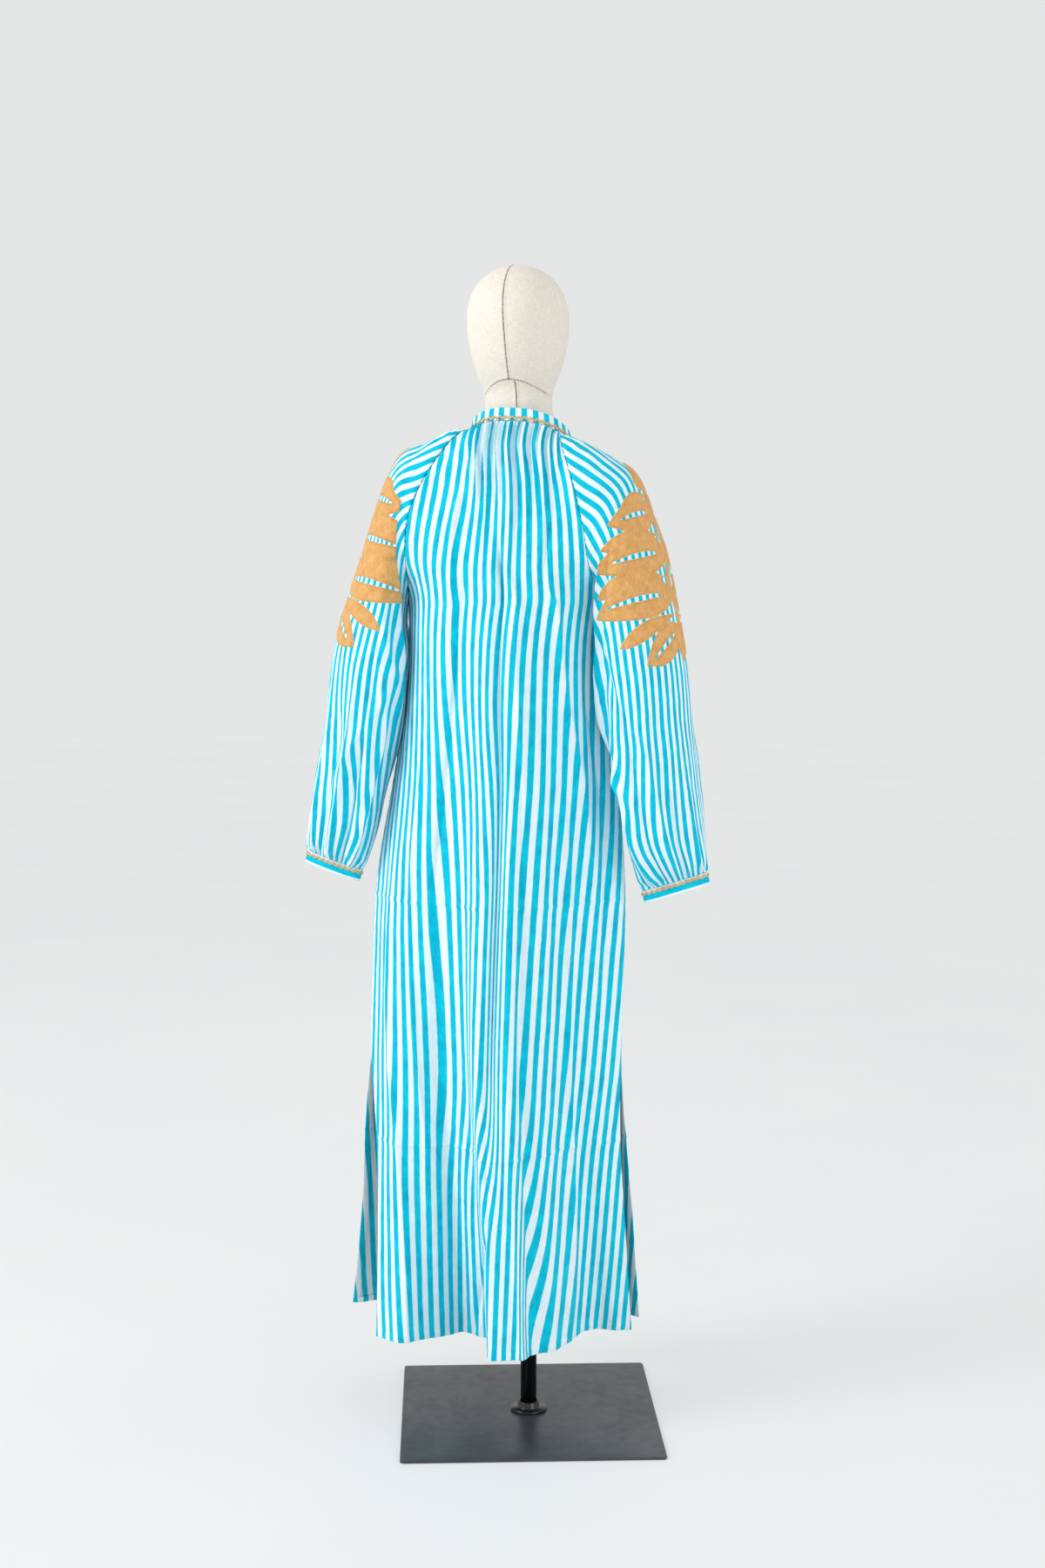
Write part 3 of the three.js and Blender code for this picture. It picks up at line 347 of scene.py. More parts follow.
class Shell:
    """Collects one piece's points, cloth coordinates and faces, then makes its mesh."""

    def __init__(self):
        self.points, self.flat, self.inset, self.faces, self.count = [], [], [], [], 0

    def add(self, grid, flat, inset=None):
        down, across = grid.shape[:2]
        ids = self.count + np.arange(down * across).reshape(down, across)
        self.points.append(grid.reshape(-1, 3))
        self.flat.append(flat.reshape(-1, 2))
        self.inset.append(np.zeros(down * across) if inset is None else np.asarray(inset).reshape(-1))
        self.count += down * across
        return ids

    def quads(self, ids, flip=False, closed=False, keep=None):
        if closed:
            ids = np.concatenate([ids, ids[:, :1]], axis=1)
        a, b, c, d = ids[:-1, :-1], ids[:-1, 1:], ids[1:, 1:], ids[1:, :-1]
        quads = np.stack([a, b, c, d] if flip else [a, d, c, b], axis=-1)
        self.faces.append(quads.reshape(-1, 4) if keep is None else quads[keep])

    def fan(self, centre, flat, line, flip=False, inset=0.0):
        """Closes a round border with triangles to a centre point."""
        top = self.add(np.asarray(centre, float)[None, None], flat[None], [inset])[0, 0]
        line = np.append(line, line[0])
        pairs = zip(line[:-1], line[1:])
        self.faces.append(np.array([[top, a, b] if flip else [top, b, a] for a, b in pairs]))

    def edge(self, ids, points, normals, inward, flat, flip, along=(0.0, -1.0)):
        """Rolls a free border over and carries it back inside, as a turned hem. along is its way on the cut."""
        section = ((0.18, -0.25), (1.02, -0.25), (WALL, 0), (WALL + 0.4, TURNED / 2), (WALL + 0.2, TURNED))
        lines = [points - normals * depth + inward * back for depth, back in section]
        reach = np.array([0.4, 0.8, 1.2, TURNED / 2, TURNED])
        made = self.add(np.stack(lines), flat[None] + reach[:, None, None] * np.array(along))
        self.quads(np.concatenate([ids[None, :], made]), flip)

    def make(self, name, finish):
        mesh = bpy.data.meshes.new(name)
        quads_first = sorted(self.faces, key=lambda group: -group.shape[-1])
        faces = [face for group in quads_first for face in group.tolist()]
        mesh.from_pydata((np.concatenate(self.points) / 1000).tolist(), [], faces)
        corner = np.zeros(len(mesh.loops), np.int32)
        mesh.loops.foreach_get("vertex_index", corner)
        flat = np.concatenate(self.flat) / 1000
        mesh.uv_layers.new(name="flat").data.foreach_set("uv", flat[corner].astype(np.float32).ravel())
        inset = np.concatenate(self.inset)
        if inset.any():
            attribute = mesh.attributes.new("inset", "FLOAT", "POINT")
            attribute.data.foreach_set("value", inset.astype(np.float32))
        mesh.polygons.foreach_set("use_smooth", [True] * len(mesh.polygons))
        mesh.materials.append(finish)
        mesh.update()
        piece = bpy.data.objects.new(name, mesh)
        bpy.context.scene.collection.objects.link(piece)
        return piece


# One stripe of the back is placed at seven heights, as it lies in the photo, and the others by the cloth's own
# length from it. left and right are the cloth, in mm, that small folds take up on each side of that stripe.
GUIDE_STRIPE = 11
GUIDE = table(
    "v s left right",
    (0.0, 0.36, 32, 4),
    (0.5, 0.45, 38, 13),
    (0.95, 0.4, 25, 5),
    (1.3, 0.28, 42, -20),
    (1.6, 0.25, 40, -14),
    (1.8, 0.16, 25, -6),
    (2.0, 0.07, 5, -4),
)
# Where a fold's flank hides cloth on its fast side and gives it back slowly on the other, in mm
FLANKS = records(
    "start full last stop slow peak fast shift",
    (1.1, 1.4, 1.62, 1.85, -0.42, 0.09, 0.25, -42),
    (1.66, 2.0, 2.1, 2.2, 0.62, 0.36, 0.25, 34),
)
FLARE = table("v scale", (0, 1.6), (0.1, 1.4), (0.25, 1.17), (0.45, 1.05), (0.7, 1.0), (2, 1.0))


def back_stripes(s, v, arc, seen):
    """The flat cut's own width coordinate. seen is the place across the camera's picture."""
    guide = sample(GUIDE, "v", v[:, None])
    at = np.array([np.interp(place, s, line) for place, line in zip(guide["s"][:, 0], arc)])[:, None]
    at_seen = np.array([np.interp(place, s, line) for place, line in zip(guide["s"][:, 0], seen)])[:, None]
    v, s = v[:, None], s[None, :]
    reach = mix(1.15, 0.55, ease(v / 1.2))
    left = guide["left"] * ease((guide["s"] - s) / reach)
    right = guide["right"] * np.clip((s - guide["s"]) / (1 - guide["s"]), 0, 1)
    cloth = arc - at + right
    even = (seen - at_seen) * cloth[:, -1:] / (seen - at_seen)[:, -1:]
    cloth = np.where(s > guide["s"], mix(cloth, even, 0.8 * ease((v - 1.3) / 0.3)), cloth)
    for flank in FLANKS:
        fade = between(v, *(flank[k] for k in ("start", "full", "last", "stop")))
        slow = np.clip((s - flank["slow"]) / (flank["peak"] - flank["slow"]), 0, 1)
        fast = ease((flank["fast"] - s) / (flank["fast"] - flank["peak"]))
        cloth = cloth + flank["shift"] * fade * slow * fast
    return (GUIDE_STRIPE + 0.25) * STRIPE + cloth - left


# The tucks below the neckband. at is the place across the flat cut, in mm from its middle, side is the way
# that the steep flank faces, and hidden is a measure of the cloth folded away there.
TUCKS = records(
    "at length depth width side hidden",
    (-86, 110, 4.1, 6, -1, 10),
    (-71, 190, 6.2, 7, -1, 12),
    (-52, 240, 7.0, 8, -1, 13),
    (-38, 110, 4.3, 5, 1, 9),
    (-24, 170, 5.9, 7, -1, 12),
    (-9, 90, 4.1, 5, 1, 9),
    (4, 280, 7.6, 9, 1, 13),
    (19, 120, 4.9, 6, -1, 10),
    (32, 230, 6.8, 7, 1, 13),
    (46, 180, 5.9, 7, -1, 11),
    (61, 260, 7.0, 8, 1, 12),
    (76, 140, 4.9, 6, 1, 10),
    (90, 100, 4.1, 6, 1, 9),
)
# Long creases down the back panel between two heights (v), by place across it (s) at four of them
CREASES = records(
    "start end a b c d depth width",
    (0.7, 1.75, 0.085, 0.13, 0.16, 0.15, -13, 0.04),
    (0.78, 1.45, 0.16, 0.28, 0.33, 0.36, 7, 0.035),
    (1.1, 2.1, 0.3, 0.34, 0.375, 0.345, -7, 0.028),
    (1.2, 2.1, 0.62, 0.635, 0.64, 0.565, 6, 0.025),
    (0.85, 1.4, 0.47, 0.66, 0.76, 0.8, 6, 0.03),
    (0.85, 1.45, -0.22, -0.31, -0.36, -0.4, -6, 0.035),
    (1.15, 1.8, -0.64, -0.58, -0.53, -0.5, 5, 0.028),
    (1.45, 2.1, 0.1, 0.1, 0.06, -0.24, -5, 0.03),
    (1.3, 2.1, -0.8, -0.78, -0.74, -0.72, 5, 0.03),
    (1.0, 1.6, 0.86, 0.88, 0.88, 0.86, -5, 0.03),
    (0.55, 1.2, 0.72, 0.6, 0.5, 0.42, -5, 0.035),
    (0.5, 1.1, -0.45, -0.42, -0.4, -0.38, 5, 0.035),
)


def tucked(across, down):
    """Height and hidden cloth of the neck's tucks across and down the cloth: ridges, steep on one side."""
    height, hidden = np.zeros_like(across), np.zeros_like(across)
    for tuck in TUCKS:
        run = down / tuck["length"]
        deep = ease(1.4 * (1 - run))
        x = (across - tuck["at"]) * tuck["side"]
        width = tuck["width"] * (0.6 + 0.6 * run)
        sharp = np.where(x < 0, bell(x, width), bell(x, 0.16 * width))
        height += 1.3 * tuck["depth"] * deep * ease((down + 3) / 12) * sharp
        jump = ease(x / 2.4 + 0.5) - 0.6 * np.clip(x / 17 + 0.5, 0, 1) - 0.2
        hidden += 0.5 * tuck["hidden"] * deep * jump * tuck["side"]
    return height, hidden


FILL = dict(most=9.0, wide=17)


def raglan_fill(side, outward, t, border):
    """Rounds out the valley along a raglan seam; both pieces move by the same amount on the seam itself."""
    amount = FILL["most"] * between(t, 0.04, 0.2, 0.62, 0.92) * bell(border, FILL["wide"])
    high = np.maximum(0, 1 - t)
    sideways = 0.3 if side == "left" else -0.15
    return unit(vec(sideways * high, outward, 0.45 * high)) * amount[..., None]


def off_crease(crease, along, across):
    """Distance from a crease in its own widths. Its line passes the places a to d between start and end."""
    run = np.clip((along - crease["start"]) / (min(crease["end"], 2) - crease["start"]), 0, 1)
    line = np.interp(run, [0, 1 / 3, 2 / 3, 1], [crease[k] for k in "abcd"])
    return (across - line) / crease["width"]


SEAM = dict(deep=0.6, wide=2.4, holds=6, pucker=0.35, stitch=11, fade=9)


def seamed(height, border, down, sewn=1.0):
    """Holds the cloth down at a seam, with the seam's groove and the small waves that its stitches pull in."""
    pucker = SEAM["pucker"] * waves(down, SEAM["stitch"]) * np.exp(-border / SEAM["fade"])
    groove = SEAM["deep"] * bell(border, SEAM["wide"]) - pucker
    return height * (1 - bell(border, SEAM["holds"]) * sewn) - groove * sewn * ease(down / 10)


def hem_relief(from_border):
    """The step where a turned hem ends, and its line of stitches."""
    return ease((HEM_STEP - from_border) / 1.2), bell(from_border - TURNED, 0.9)


def crumple(seed, x, y, wide):
    """Small irregular creases left by wear: long and soft first, then short and fine."""
    soft = lattice(seed, max(4, int(wide * 14)), 7, x, y)
    middle = lattice(seed + 1, max(6, int(wide * 34)), 22, x, y)
    fine = lattice(seed + 2, max(8, int(wide * 70)), 70, x, y)
    veins = 1 - np.abs(lattice(seed + 3, max(6, int(wide * 22)), 30, x + 0.12 * y, y))
    return 1.3 * soft + 0.55 * middle + 0.16 * fine + 0.5 * veins**6


# Lengths and heights of the small folds are in mm
SEED = dict(back=20, front=40, left=50, right=60)  # for each piece's own creases
NECK_RIPPLE = dict(length=9.5, height=0.9, fade=26)  # the finest gathers, right below the neckband


def panel_relief(panel, across, down, s, v, z):
    """How far the panel's small folds stand off its smooth surface, and the cloth that its tucks hide."""
    x01, y01 = (s + 1) / 2, v / 2
    height, hidden = tucked(across - (BACK_MIDDLE if panel == "back" else 0), down)
    ripple = np.cos(2 * np.pi * across / NECK_RIPPLE["length"] + 1.7 * lattice(5, 9, 3, x01, y01))
    coarse = lattice(8, 17, 4, x01, v)
    height = height + NECK_RIPPLE["height"] * ripple * np.exp(-down / NECK_RIPPLE["fade"])
    height = height + 2.4 * coarse * bell(down - 60, 70)
    for crease in CREASES if panel == "back" else ():
        fade = ease((v - crease["start"]) / 0.18) * ease((crease["end"] - v) / 0.18)
        height = height + crease["depth"] * fade * np.exp(-np.abs(off_crease(crease, v, s)) ** 1.5)
    height = height + crumple(SEED[panel], x01, y01, 1.0) * ease((v - 0.15) / 0.5)
    for level in PRESSED:
        bend = z - level - 1.5 * lattice(63, 9, 1, x01, 0 * y01)
        height = height + 1.6 * np.exp(-np.abs(bend) / 2.6)
    return height, hidden, coarse


def panel_borders(height, across, down, border, v, coarse):
    """Seams at the sides, down to the slits, and stitched hems below them and along the bottom."""
    sewn = (v < SLIT_V).astype(float)
    height = seamed(height, border, down, sewn)
    from_hem = down[-1:, :] - down
    step, stitches = hem_relief(from_hem)
    height = height + 0.45 * step - 0.5 * stitches
    height = height + 0.5 * np.cos(2 * np.pi * across / 23 + 2 * coarse) * ease((13 - from_hem) / 8)
    step, stitches = hem_relief(border)
    return height + (0.35 * step - 0.4 * stitches) * (1 - sewn)


def body_panel(panel, finish, columns):
    s, v, half = np.linspace(-1, 1, columns + 1), BODY_V, columns // 2
    if panel == "front":
        s = np.concatenate([np.linspace(-1, -0.008, half), np.linspace(0.008, 1, half)])
    flip = panel == "front"
    base = body_point(panel, s[None, :], v[:, None])
    normal = normals_of(base, flip)
    arc, down = arc_across(base), arc_down(base)
    if panel == "back":
        turn = math.radians(CAMERA["around"])
        across = back_stripes(s, v, arc, base[..., 0] * math.cos(turn) + base[..., 1] * math.sin(turn))
    else:
        middle = arc[:, half - 1 : half + 1].mean(axis=1)[:, None]
        across = (arc - middle) * sample(FLARE, "v", v)["scale"][:, None]
    ss, vv = np.broadcast_arrays(s[None, :], v[:, None])
    height, hidden, coarse = panel_relief(panel, across, down, ss, vv, base[..., 2])
    to_left, to_right = arc, arc[:, -1:] - arc
    height = panel_borders(height, across, down, np.minimum(to_left, to_right), vv, coarse)
    facing = -1 if panel == "back" else 1
    grid = base + normal * height[..., None]
    grid = grid + raglan_fill("left", facing, vv, to_left) + raglan_fill("right", facing, vv, to_right)
    uneven = 1.2 * lattice(90, 6, 5, (ss + 1) / 2, vv / 2)
    flat = np.stack([across + hidden + uneven, down], axis=-1)

    shell = Shell()
    ids = shell.add(grid, flat)
    keep = None
    if panel == "front":
        keep = np.ones((len(v) - 1, len(s) - 1), bool)
        keep[v[:-1] < FRONT_SLIT_V, half - 1] = False
    shell.quads(ids, flip, keep=keep)
    shell.edge(ids[-1], grid[-1], normal[-1], unit(grid[-2] - grid[-1]), flat[-1], flip)
    low = v >= SLIT_V - 1e-9
    slits = [(low, 0, 6, not flip, (1.0, 0.0)), (low, -1, -7, flip, (-1.0, 0.0))]
    if panel == "front":
        cut = v <= FRONT_SLIT_V + 0.01
        slits += [(cut, half - 1, half - 7, False, (0.0, -1.0)), (cut, half, half + 6, True, (0.0, -1.0))]
    for part, column, nearby, turned, along in slits:
        inward = unit(grid[part, nearby] - grid[part, column])
        line = ids[part, column]
        shell.edge(line, grid[part, column], normal[part, column], inward, flat[part, column], turned, along)
    return shell.make(panel + "_cloth", finish)


SLEEVE_CREASES = {
    "right": records(
        "start end a b c d depth width hidden",
        (0.88, 1.3, 0.3, 0.21, 0.13, 0.05, 9, 0.03, 4),
        (1.0, 1.55, 0.04, 0.12, 0.21, 0.31, -8, 0.035, 3),
        (1.3, 1.75, 0.02, 0.09, 0.17, 0.25, 8, 0.028, 3),
        (0.78, 1.5, 0.13, 0.1, 0.06, 0.03, 14.4, 0.022, 6),
        (0.8, 1.3, 0.2, 0.17, 0.14, 0.12, -8.0, 0.02, 0),
        (1.1, 1.6, 0.09, 0.07, 0.045, 0.03, 8.0, 0.02, 0),
        (1.3, 2.1, 0.14, 0.15, 0.16, 0.17, 6.4, 0.012, 6),
        (1.2, 2.1, 0.2, 0.22, 0.23, 0.22, -6.4, 0.016, 5),
        (1.35, 2.1, 0.27, 0.28, 0.3, 0.3, 6.4, 0.014, 6),
        (1.25, 2.1, 0.38, 0.37, 0.36, 0.36, 4.8, 0.016, 5),
        (1.5, 2.1, 0.45, 0.44, 0.43, 0.43, 4.8, 0.012, 5),
        (1.3, 2.1, 0.6, 0.6, 0.61, 0.62, 4.8, 0.014, 5),
        (1.2, 2.1, 0.75, 0.74, 0.73, 0.72, 6.4, 0.016, 6),
        (1.4, 2.1, 0.87, 0.87, 0.86, 0.85, 4.8, 0.014, 5),
    ),
    "left": records(
        "start end a b c d depth width hidden",
        (0.95, 1.4, 0.26, 0.19, 0.12, 0.05, 7, 0.03, 3),
        (1.1, 1.7, 0.05, 0.14, 0.24, 0.33, 8, 0.032, 4),
        (1.35, 1.85, 0.36, 0.29, 0.2, 0.11, -7, 0.03, 3),
        (0.85, 1.5, 0.12, 0.1, 0.08, 0.06, 8.0, 0.02, 3),
        (1.2, 2.1, 0.12, 0.13, 0.14, 0.15, 6.4, 0.013, 6),
        (1.05, 2.1, 0.19, 0.2, 0.21, 0.2, -8.0, 0.016, 5),
        (1.15, 2.1, 0.26, 0.26, 0.27, 0.28, 8.0, 0.015, 6),
        (1.3, 2.1, 0.33, 0.33, 0.34, 0.34, -4.8, 0.014, 5),
        (1.25, 2.1, 0.4, 0.4, 0.41, 0.41, 4.8, 0.014, 5),
        (1.35, 2.1, 0.5, 0.5, 0.49, 0.48, 4.8, 0.014, 5),
        (1.3, 2.1, 0.62, 0.62, 0.61, 0.6, 4.8, 0.014, 5),
        (1.2, 2.1, 0.74, 0.74, 0.73, 0.72, 6.4, 0.016, 6),
        (1.4, 2.1, 0.86, 0.87, 0.86, 0.85, 4.8, 0.014, 5),
    ),
}


ELBOW_T = 1.25
NECK_GATHERS, CUFF_GATHERS = 12, 30
LEAN = dict(most=14, reach=55)  # how much closer to the body the left arm hangs below the underarm
ASLANT = dict(most=62, back=46)  # how far the stripes run aslant, where the sleeve is wider than the arm


def sleeve_grid(side, columns):
    u, t = np.linspace(0, 1, columns + 1), SLEEVE_T
    base = sleeve_point(side, u[None, :], t[:, None])
    normal = normals_of(base, side == "left")
    arc, down = arc_across(base), arc_down(base)
    width = arc[:, -1:]
    # The gathers towards the cuff hold the width of cloth that the sleeve has above the elbow
    full = np.interp(ELBOW_T, t, width[:, 0])
    scale = np.where(t > ELBOW_T, full / width[:, 0] * mix(1, 0.94, np.clip(t - ELBOW_T, 0, 1)), 1.0)
    scale = scale * np.where(t < 0.3, 1 + 0.35 * (1 - t / 0.3) ** 2, 1.0)
    across = (arc - arc[:, columns // 2][:, None]) * scale[:, None]
    uu, tt = np.broadcast_arrays(u[None, :], t[:, None])
    height, hidden = np.zeros_like(arc), np.zeros_like(arc)
    for crease in SLEEVE_CREASES[side]:
        x = off_crease(crease, tt, uu)
        fade = ease((tt - crease["start"]) / 0.3) * ease((crease["end"] - tt) / 0.2)
        height = height + crease["depth"] * fade * np.exp(-np.abs(x) ** 1.5)
        deep = crease["hidden"] * ease((tt - crease["start"]) / 0.7) * ease((crease["end"] - tt) / 0.1)
        hidden = hidden + deep * (ease(x * 0.8 + 0.5) - 0.5)
    to_cuff = down[-1:, :] - down
    wobble = 1.5 * lattice(31, 9, 2, uu, tt / 2)
    gathers = np.cos(2 * np.pi * CUFF_GATHERS * uu + wobble)
    height = height + 1.5 * gathers * np.exp(-to_cuff / 26) * ease(to_cuff / 5)
    height = height + 2.2 * lattice(33, 22, 3, uu, tt - 1) * bell(to_cuff - 45, 60)
    height = height + 0.9 * waves(NECK_GATHERS * uu, 1) * np.exp(-down / 30) * ease(down / 6)
    height = height + 1.8 * lattice(35, 11, 3, uu, tt) * bell(down - 55, 60)
    height = height + crumple(SEED[side], uu, tt / 2, 0.8) * ease((tt - 0.2) / 0.4)
    border = np.minimum(arc, width - arc)
    height = seamed(height, border, down) * ease(to_cuff / 3 + 0.1)
    grid = base + normal * height[..., None]
    grid = grid + raglan_fill(side, -1, tt, arc) + raglan_fill(side, 1, tt, width - arc)
    if side == "left":
        grid[..., 0] += LEAN["most"] * between(tt, 1.02, 1.18, 1.36, 1.66) * bell(border, LEAN["reach"])
    aslant = ASLANT["most"] * ease((tt - 0.5) / 0.8) - ASLANT["back"] * ease((tt - 1.35) / 0.5)
    aslant = aslant * np.clip((uu - 0.5) / 0.36, -1, 1)
    return grid, normal, np.stack([across + hidden + aslant, down], axis=-1), u, t


def sleeve(side, cloth, finish):
    shell = Shell()
    shell.quads(shell.add(cloth[0], cloth[2]), side == "left")
    return shell.make("sleeve_cloth_" + side, finish)


def cuff_frame(side):
    r = {k: float(x) for k, x in sample(SLEEVE[side], "t", 2.0).items()}
    reach = np.array([r["out_x"] - r["seam_x"], r["out_y"] - r["seam_y"], r["out_z"] - r["seam_z"]])
    turn = math.radians(r["turn"])
    across = np.array([math.sin(turn), math.cos(turn), 0])
    down = unit(np.cross(across, reach))
    down = -down if down[2] > 0 else down
    middle = np.array([r["seam_x"], r["seam_y"], r["seam_z"]]) + reach / 2
    return middle, reach / 2, across * r["deep"], down


def cuff_point(frame_, u, drop, grow=0.0):
    middle, reach, across, down = frame_
    angle = mix(-np.pi / 2, 3 * np.pi / 2, np.asarray(u))
    out = -across * (np.cos(angle) / (across @ across))[..., None]
    out = unit(out + reach * (np.sin(angle) / (reach @ reach))[..., None])
    point = middle - across * np.cos(angle)[..., None] + reach * np.sin(angle)[..., None]
    return point + down * np.asarray(drop)[..., None] + out * np.asarray(grow)[..., None], out


# The cuff's section: how far down it and how far out from its middle line, once round
CUFF_SECTION = (
    (0.6, -1.2), (0.5, -0.5), (0.8, -0.1), (1.6, 0.15), (2.4, 0.0), (5, 0.25), (9, 0.35), (13, 0.3),
    (16.4, 0.2), (17.2, -0.1), (17.8, 0.1), (18.3, 0), (18.6, -0.4), (18.6, -0.9), (18.2, -1.4),
    (12, -1.6), (6, -1.6), (0.6, -1.5),
)


def cuff(side, finish):
    """A folded band: rounded edges, the stitched line near its top, and stripes that run round the arm."""
    frame_ = cuff_frame(side)
    u = np.linspace(0, 1, 193)[:-1]
    lines, flats = [], []
    for drop, grow in CUFF_SECTION:
        soft = 0.25 * np.cos(2 * np.pi * 17 * u + 0.4 * drop) + 0.2 * waves(7 * u, 1)
        lines.append(cuff_point(frame_, u, np.full_like(u, drop), grow + soft * (grow > -1))[0])
        flats.append(np.stack([np.full_like(u, drop - 6.0), u * 220], axis=-1))
    shell = Shell()
    shell.quads(shell.add(np.stack(lines), np.stack(flats)), side == "left", closed=True)
    return shell.make("cuff_cloth_" + side, finish)


# The neckband's section: how far up it and out, from its foot over the rounded top and down inside
BAND_SECTION = (
    (1, 0.0), (2, 0.25), (6, 0.5), (12, 0.5), (17, 0.35), (18.6, 0.1),
    (19, -0.4), (19, -1.1), (18.5, -1.5), (12, -1.5), (6, -1.5), (1, -1.5),
)
BAND_OPENING = (92.5, 447.5)  # its ends at the centre front, in degrees round the neck


def neckband(finish):
    """The band on the neck seam, rounded at the top and open at the centre front."""
    degrees = np.linspace(*BAND_OPENING, 361)
    foot = neck_point(degrees)
    out = unit(vec(foot[:, 0] - NECK["x"], foot[:, 1] - NECK["y"], 0))
    length = np.concatenate([[0], np.cumsum(np.linalg.norm(np.diff(foot, axis=0), axis=-1))])
    wave = 0.35 * np.cos(length / 6.3) + 0.3 * np.cos(length / 2.9 + 1)
    lines, flats = [], []
    for rise, grow in BAND_SECTION:
        lean = -2.5 * (rise - 1) / NECKBAND_HEIGHT
        line = foot + out * (lean + grow + 0.5 * wave * (rise > 3))[:, None]
        line[:, 2] += rise + 0.25 * wave * (rise > 15)
        lines.append(line)
        flats.append(np.stack([length + 4.6, np.full_like(length, rise)], axis=-1))
    shell = Shell()
    ids = shell.add(np.stack(lines), np.stack(flats))
    shell.quads(ids)
    for end, flip in ((0, True), (-1, False)):
        shell.quads(np.stack([ids[:6, end], ids[11:5:-1, end]]).T, flip)
    return shell.make("neckband_cloth", finish)


BRAID = dict(swing=1.5, width=2.7, thick=1.3, wave=9.0, gap=0.6, steps=12, sides=12)


def braid(name, points, ups, outs, closed, finish):
    """A woven zigzag braid: a flattened round section that follows a smooth wave."""
    length = np.concatenate([[0], np.cumsum(np.linalg.norm(np.diff(points, axis=0), axis=-1))])
    count = round(length[-1] / BRAID["wave"])
    at = np.linspace(0, length[-1], count * BRAID["steps"] + 1)
    if closed:
        at = at[:-1]

    def along_it(values):
        return np.stack([np.interp(at, length, values[:, k]) for k in range(3)], axis=-1)

    middle, up, out = along_it(points), unit(along_it(ups)), unit(along_it(outs))
    phase = 2 * np.pi * count * at / length[-1]
    middle = middle + up * (BRAID["swing"] * np.sin(phase))[:, None]
    way = np.roll(middle, -1, axis=0) - np.roll(middle, 1, axis=0) if closed else np.gradient(middle, axis=0)
    side = unit(np.cross(out, unit(way)))
    turn = np.linspace(0, 2 * np.pi, BRAID["sides"] + 1)[:-1]
    puff = 1 + 0.06 * np.cos(3 * phase)
    ring = []
    for a in turn:
        x = BRAID["width"] / 2 * np.sign(math.cos(a)) * abs(math.cos(a)) ** 0.8
        y = BRAID["thick"] / 2 * (1 + math.sin(a))
        ring.append(middle + side * (x * puff)[:, None] + out * (BRAID["gap"] + y))
    shell = Shell()
    ids = shell.add(np.stack(ring), vec(at[None, :], (turn * BRAID["width"] / 2)[:, None]))
    shell.quads(np.concatenate([ids, ids[:1]]), closed=closed)
    if not closed:
        for end in (ids[:, 0], ids[:, -1]):
            shell.faces.append(np.array([[end[i], end[i + 1], end[10 - i], end[11 - i]] for i in range(5)]))
    return shell.make(name, finish)


def neck_braid(finish):
    degrees = np.linspace(*BAND_OPENING, 721)
    points = neck_point(degrees)
    points[:, 2] += 5
    outs = vec(np.cos(np.radians(degrees)), np.sin(np.radians(degrees)), 0)
    return braid("ricrac_neck_braid", points, vec(0 * degrees, 0, 1), outs, False, finish)


def cuff_braid(side, finish):
    frame_ = cuff_frame(side)
    u = np.linspace(0, 1, 361)
    points, outs = cuff_point(frame_, u, np.full_like(u, 5.0), np.zeros_like(u))
    ups = np.repeat(-frame_[3][None, :], len(u), axis=0)
    return braid("ricrac_cuff_braid_" + side, points, ups, outs, True, finish)


# The sleeve motif: a stem with pairs of broad leaves, drawn flat and rolled round the arm
MOTIF = dict(top=1410, bottom=1166, drift=-12, stem=12, round=80, gap=0.35, thick=1.0, half=165)
ARM = {
    "right": dict(outward=1, lift=0, axis_x=93, slope=0.235),
    "left": dict(outward=-1, lift=26, axis_x=-117, slope=-0.356),
}
ARM_Y = -4
VEINED = 42  # a leaf wider than this has a vein cut out of it
LEAVES = records(
    "at length width tilt bend",
    (0.06, 44, 40, -2, 10),
    (0.29, 96, 54, 8, 32),
    (0.53, 134, 60, 10, 50),
    (0.77, 146, 60, 8, 54),
    (0.95, 104, 46, -20, 24),
)
# Narrow leaves between the broad ones
SLIPS = records(
    "at length width tilt bend full",
    (0.19, 78, 20, 6, 22, 1.9),
    (0.42, 116, 27, 10, 44, 1.9),
    (0.66, 134, 28, 9, 54, 1.9),
    (0.87, 126, 24, -4, 42, 1.9),
)
END_LEAF = dict(at=0.97, length=44, width=32, tilt=-92, bend=0)


def stem_point(f):
    return np.array([MOTIF["drift"] * f + 5 * math.sin(f * 5 * math.pi), mix(MOTIF["top"], MOTIF["bottom"], f)])


def leaf_outline(leaf, side, share=1.0, start=0.0, end=1.0, count=20):
    """share narrows the leaf, and start and end keep a part of its length: the cut out vein is such a part."""
    root, tilt = stem_point(leaf["at"]), math.radians(leaf["tilt"])
    g = np.linspace(start, end, count + 1)
    local = np.clip((g - start) / (end - start), 0, 1)
    fullness = np.sin(np.pi * (g if share == 1 else local) ** leaf.get("full", 0.85))
    half = share * leaf["width"] * np.maximum(fullness, 0) ** 0.8 / 2
    out = []
    for sign, order in ((-1, slice(None)), (1, slice(-2, 0, -1))):
        x, y = (g * leaf["length"])[order], (sign * half - leaf["bend"] * g * g)[order]
        px = x * math.cos(tilt) - y * math.sin(tilt)
        py = x * math.sin(tilt) + y * math.cos(tilt)
        out.append(np.stack([root[0] + side * px, root[1] + py], axis=-1))
    return np.concatenate(out)


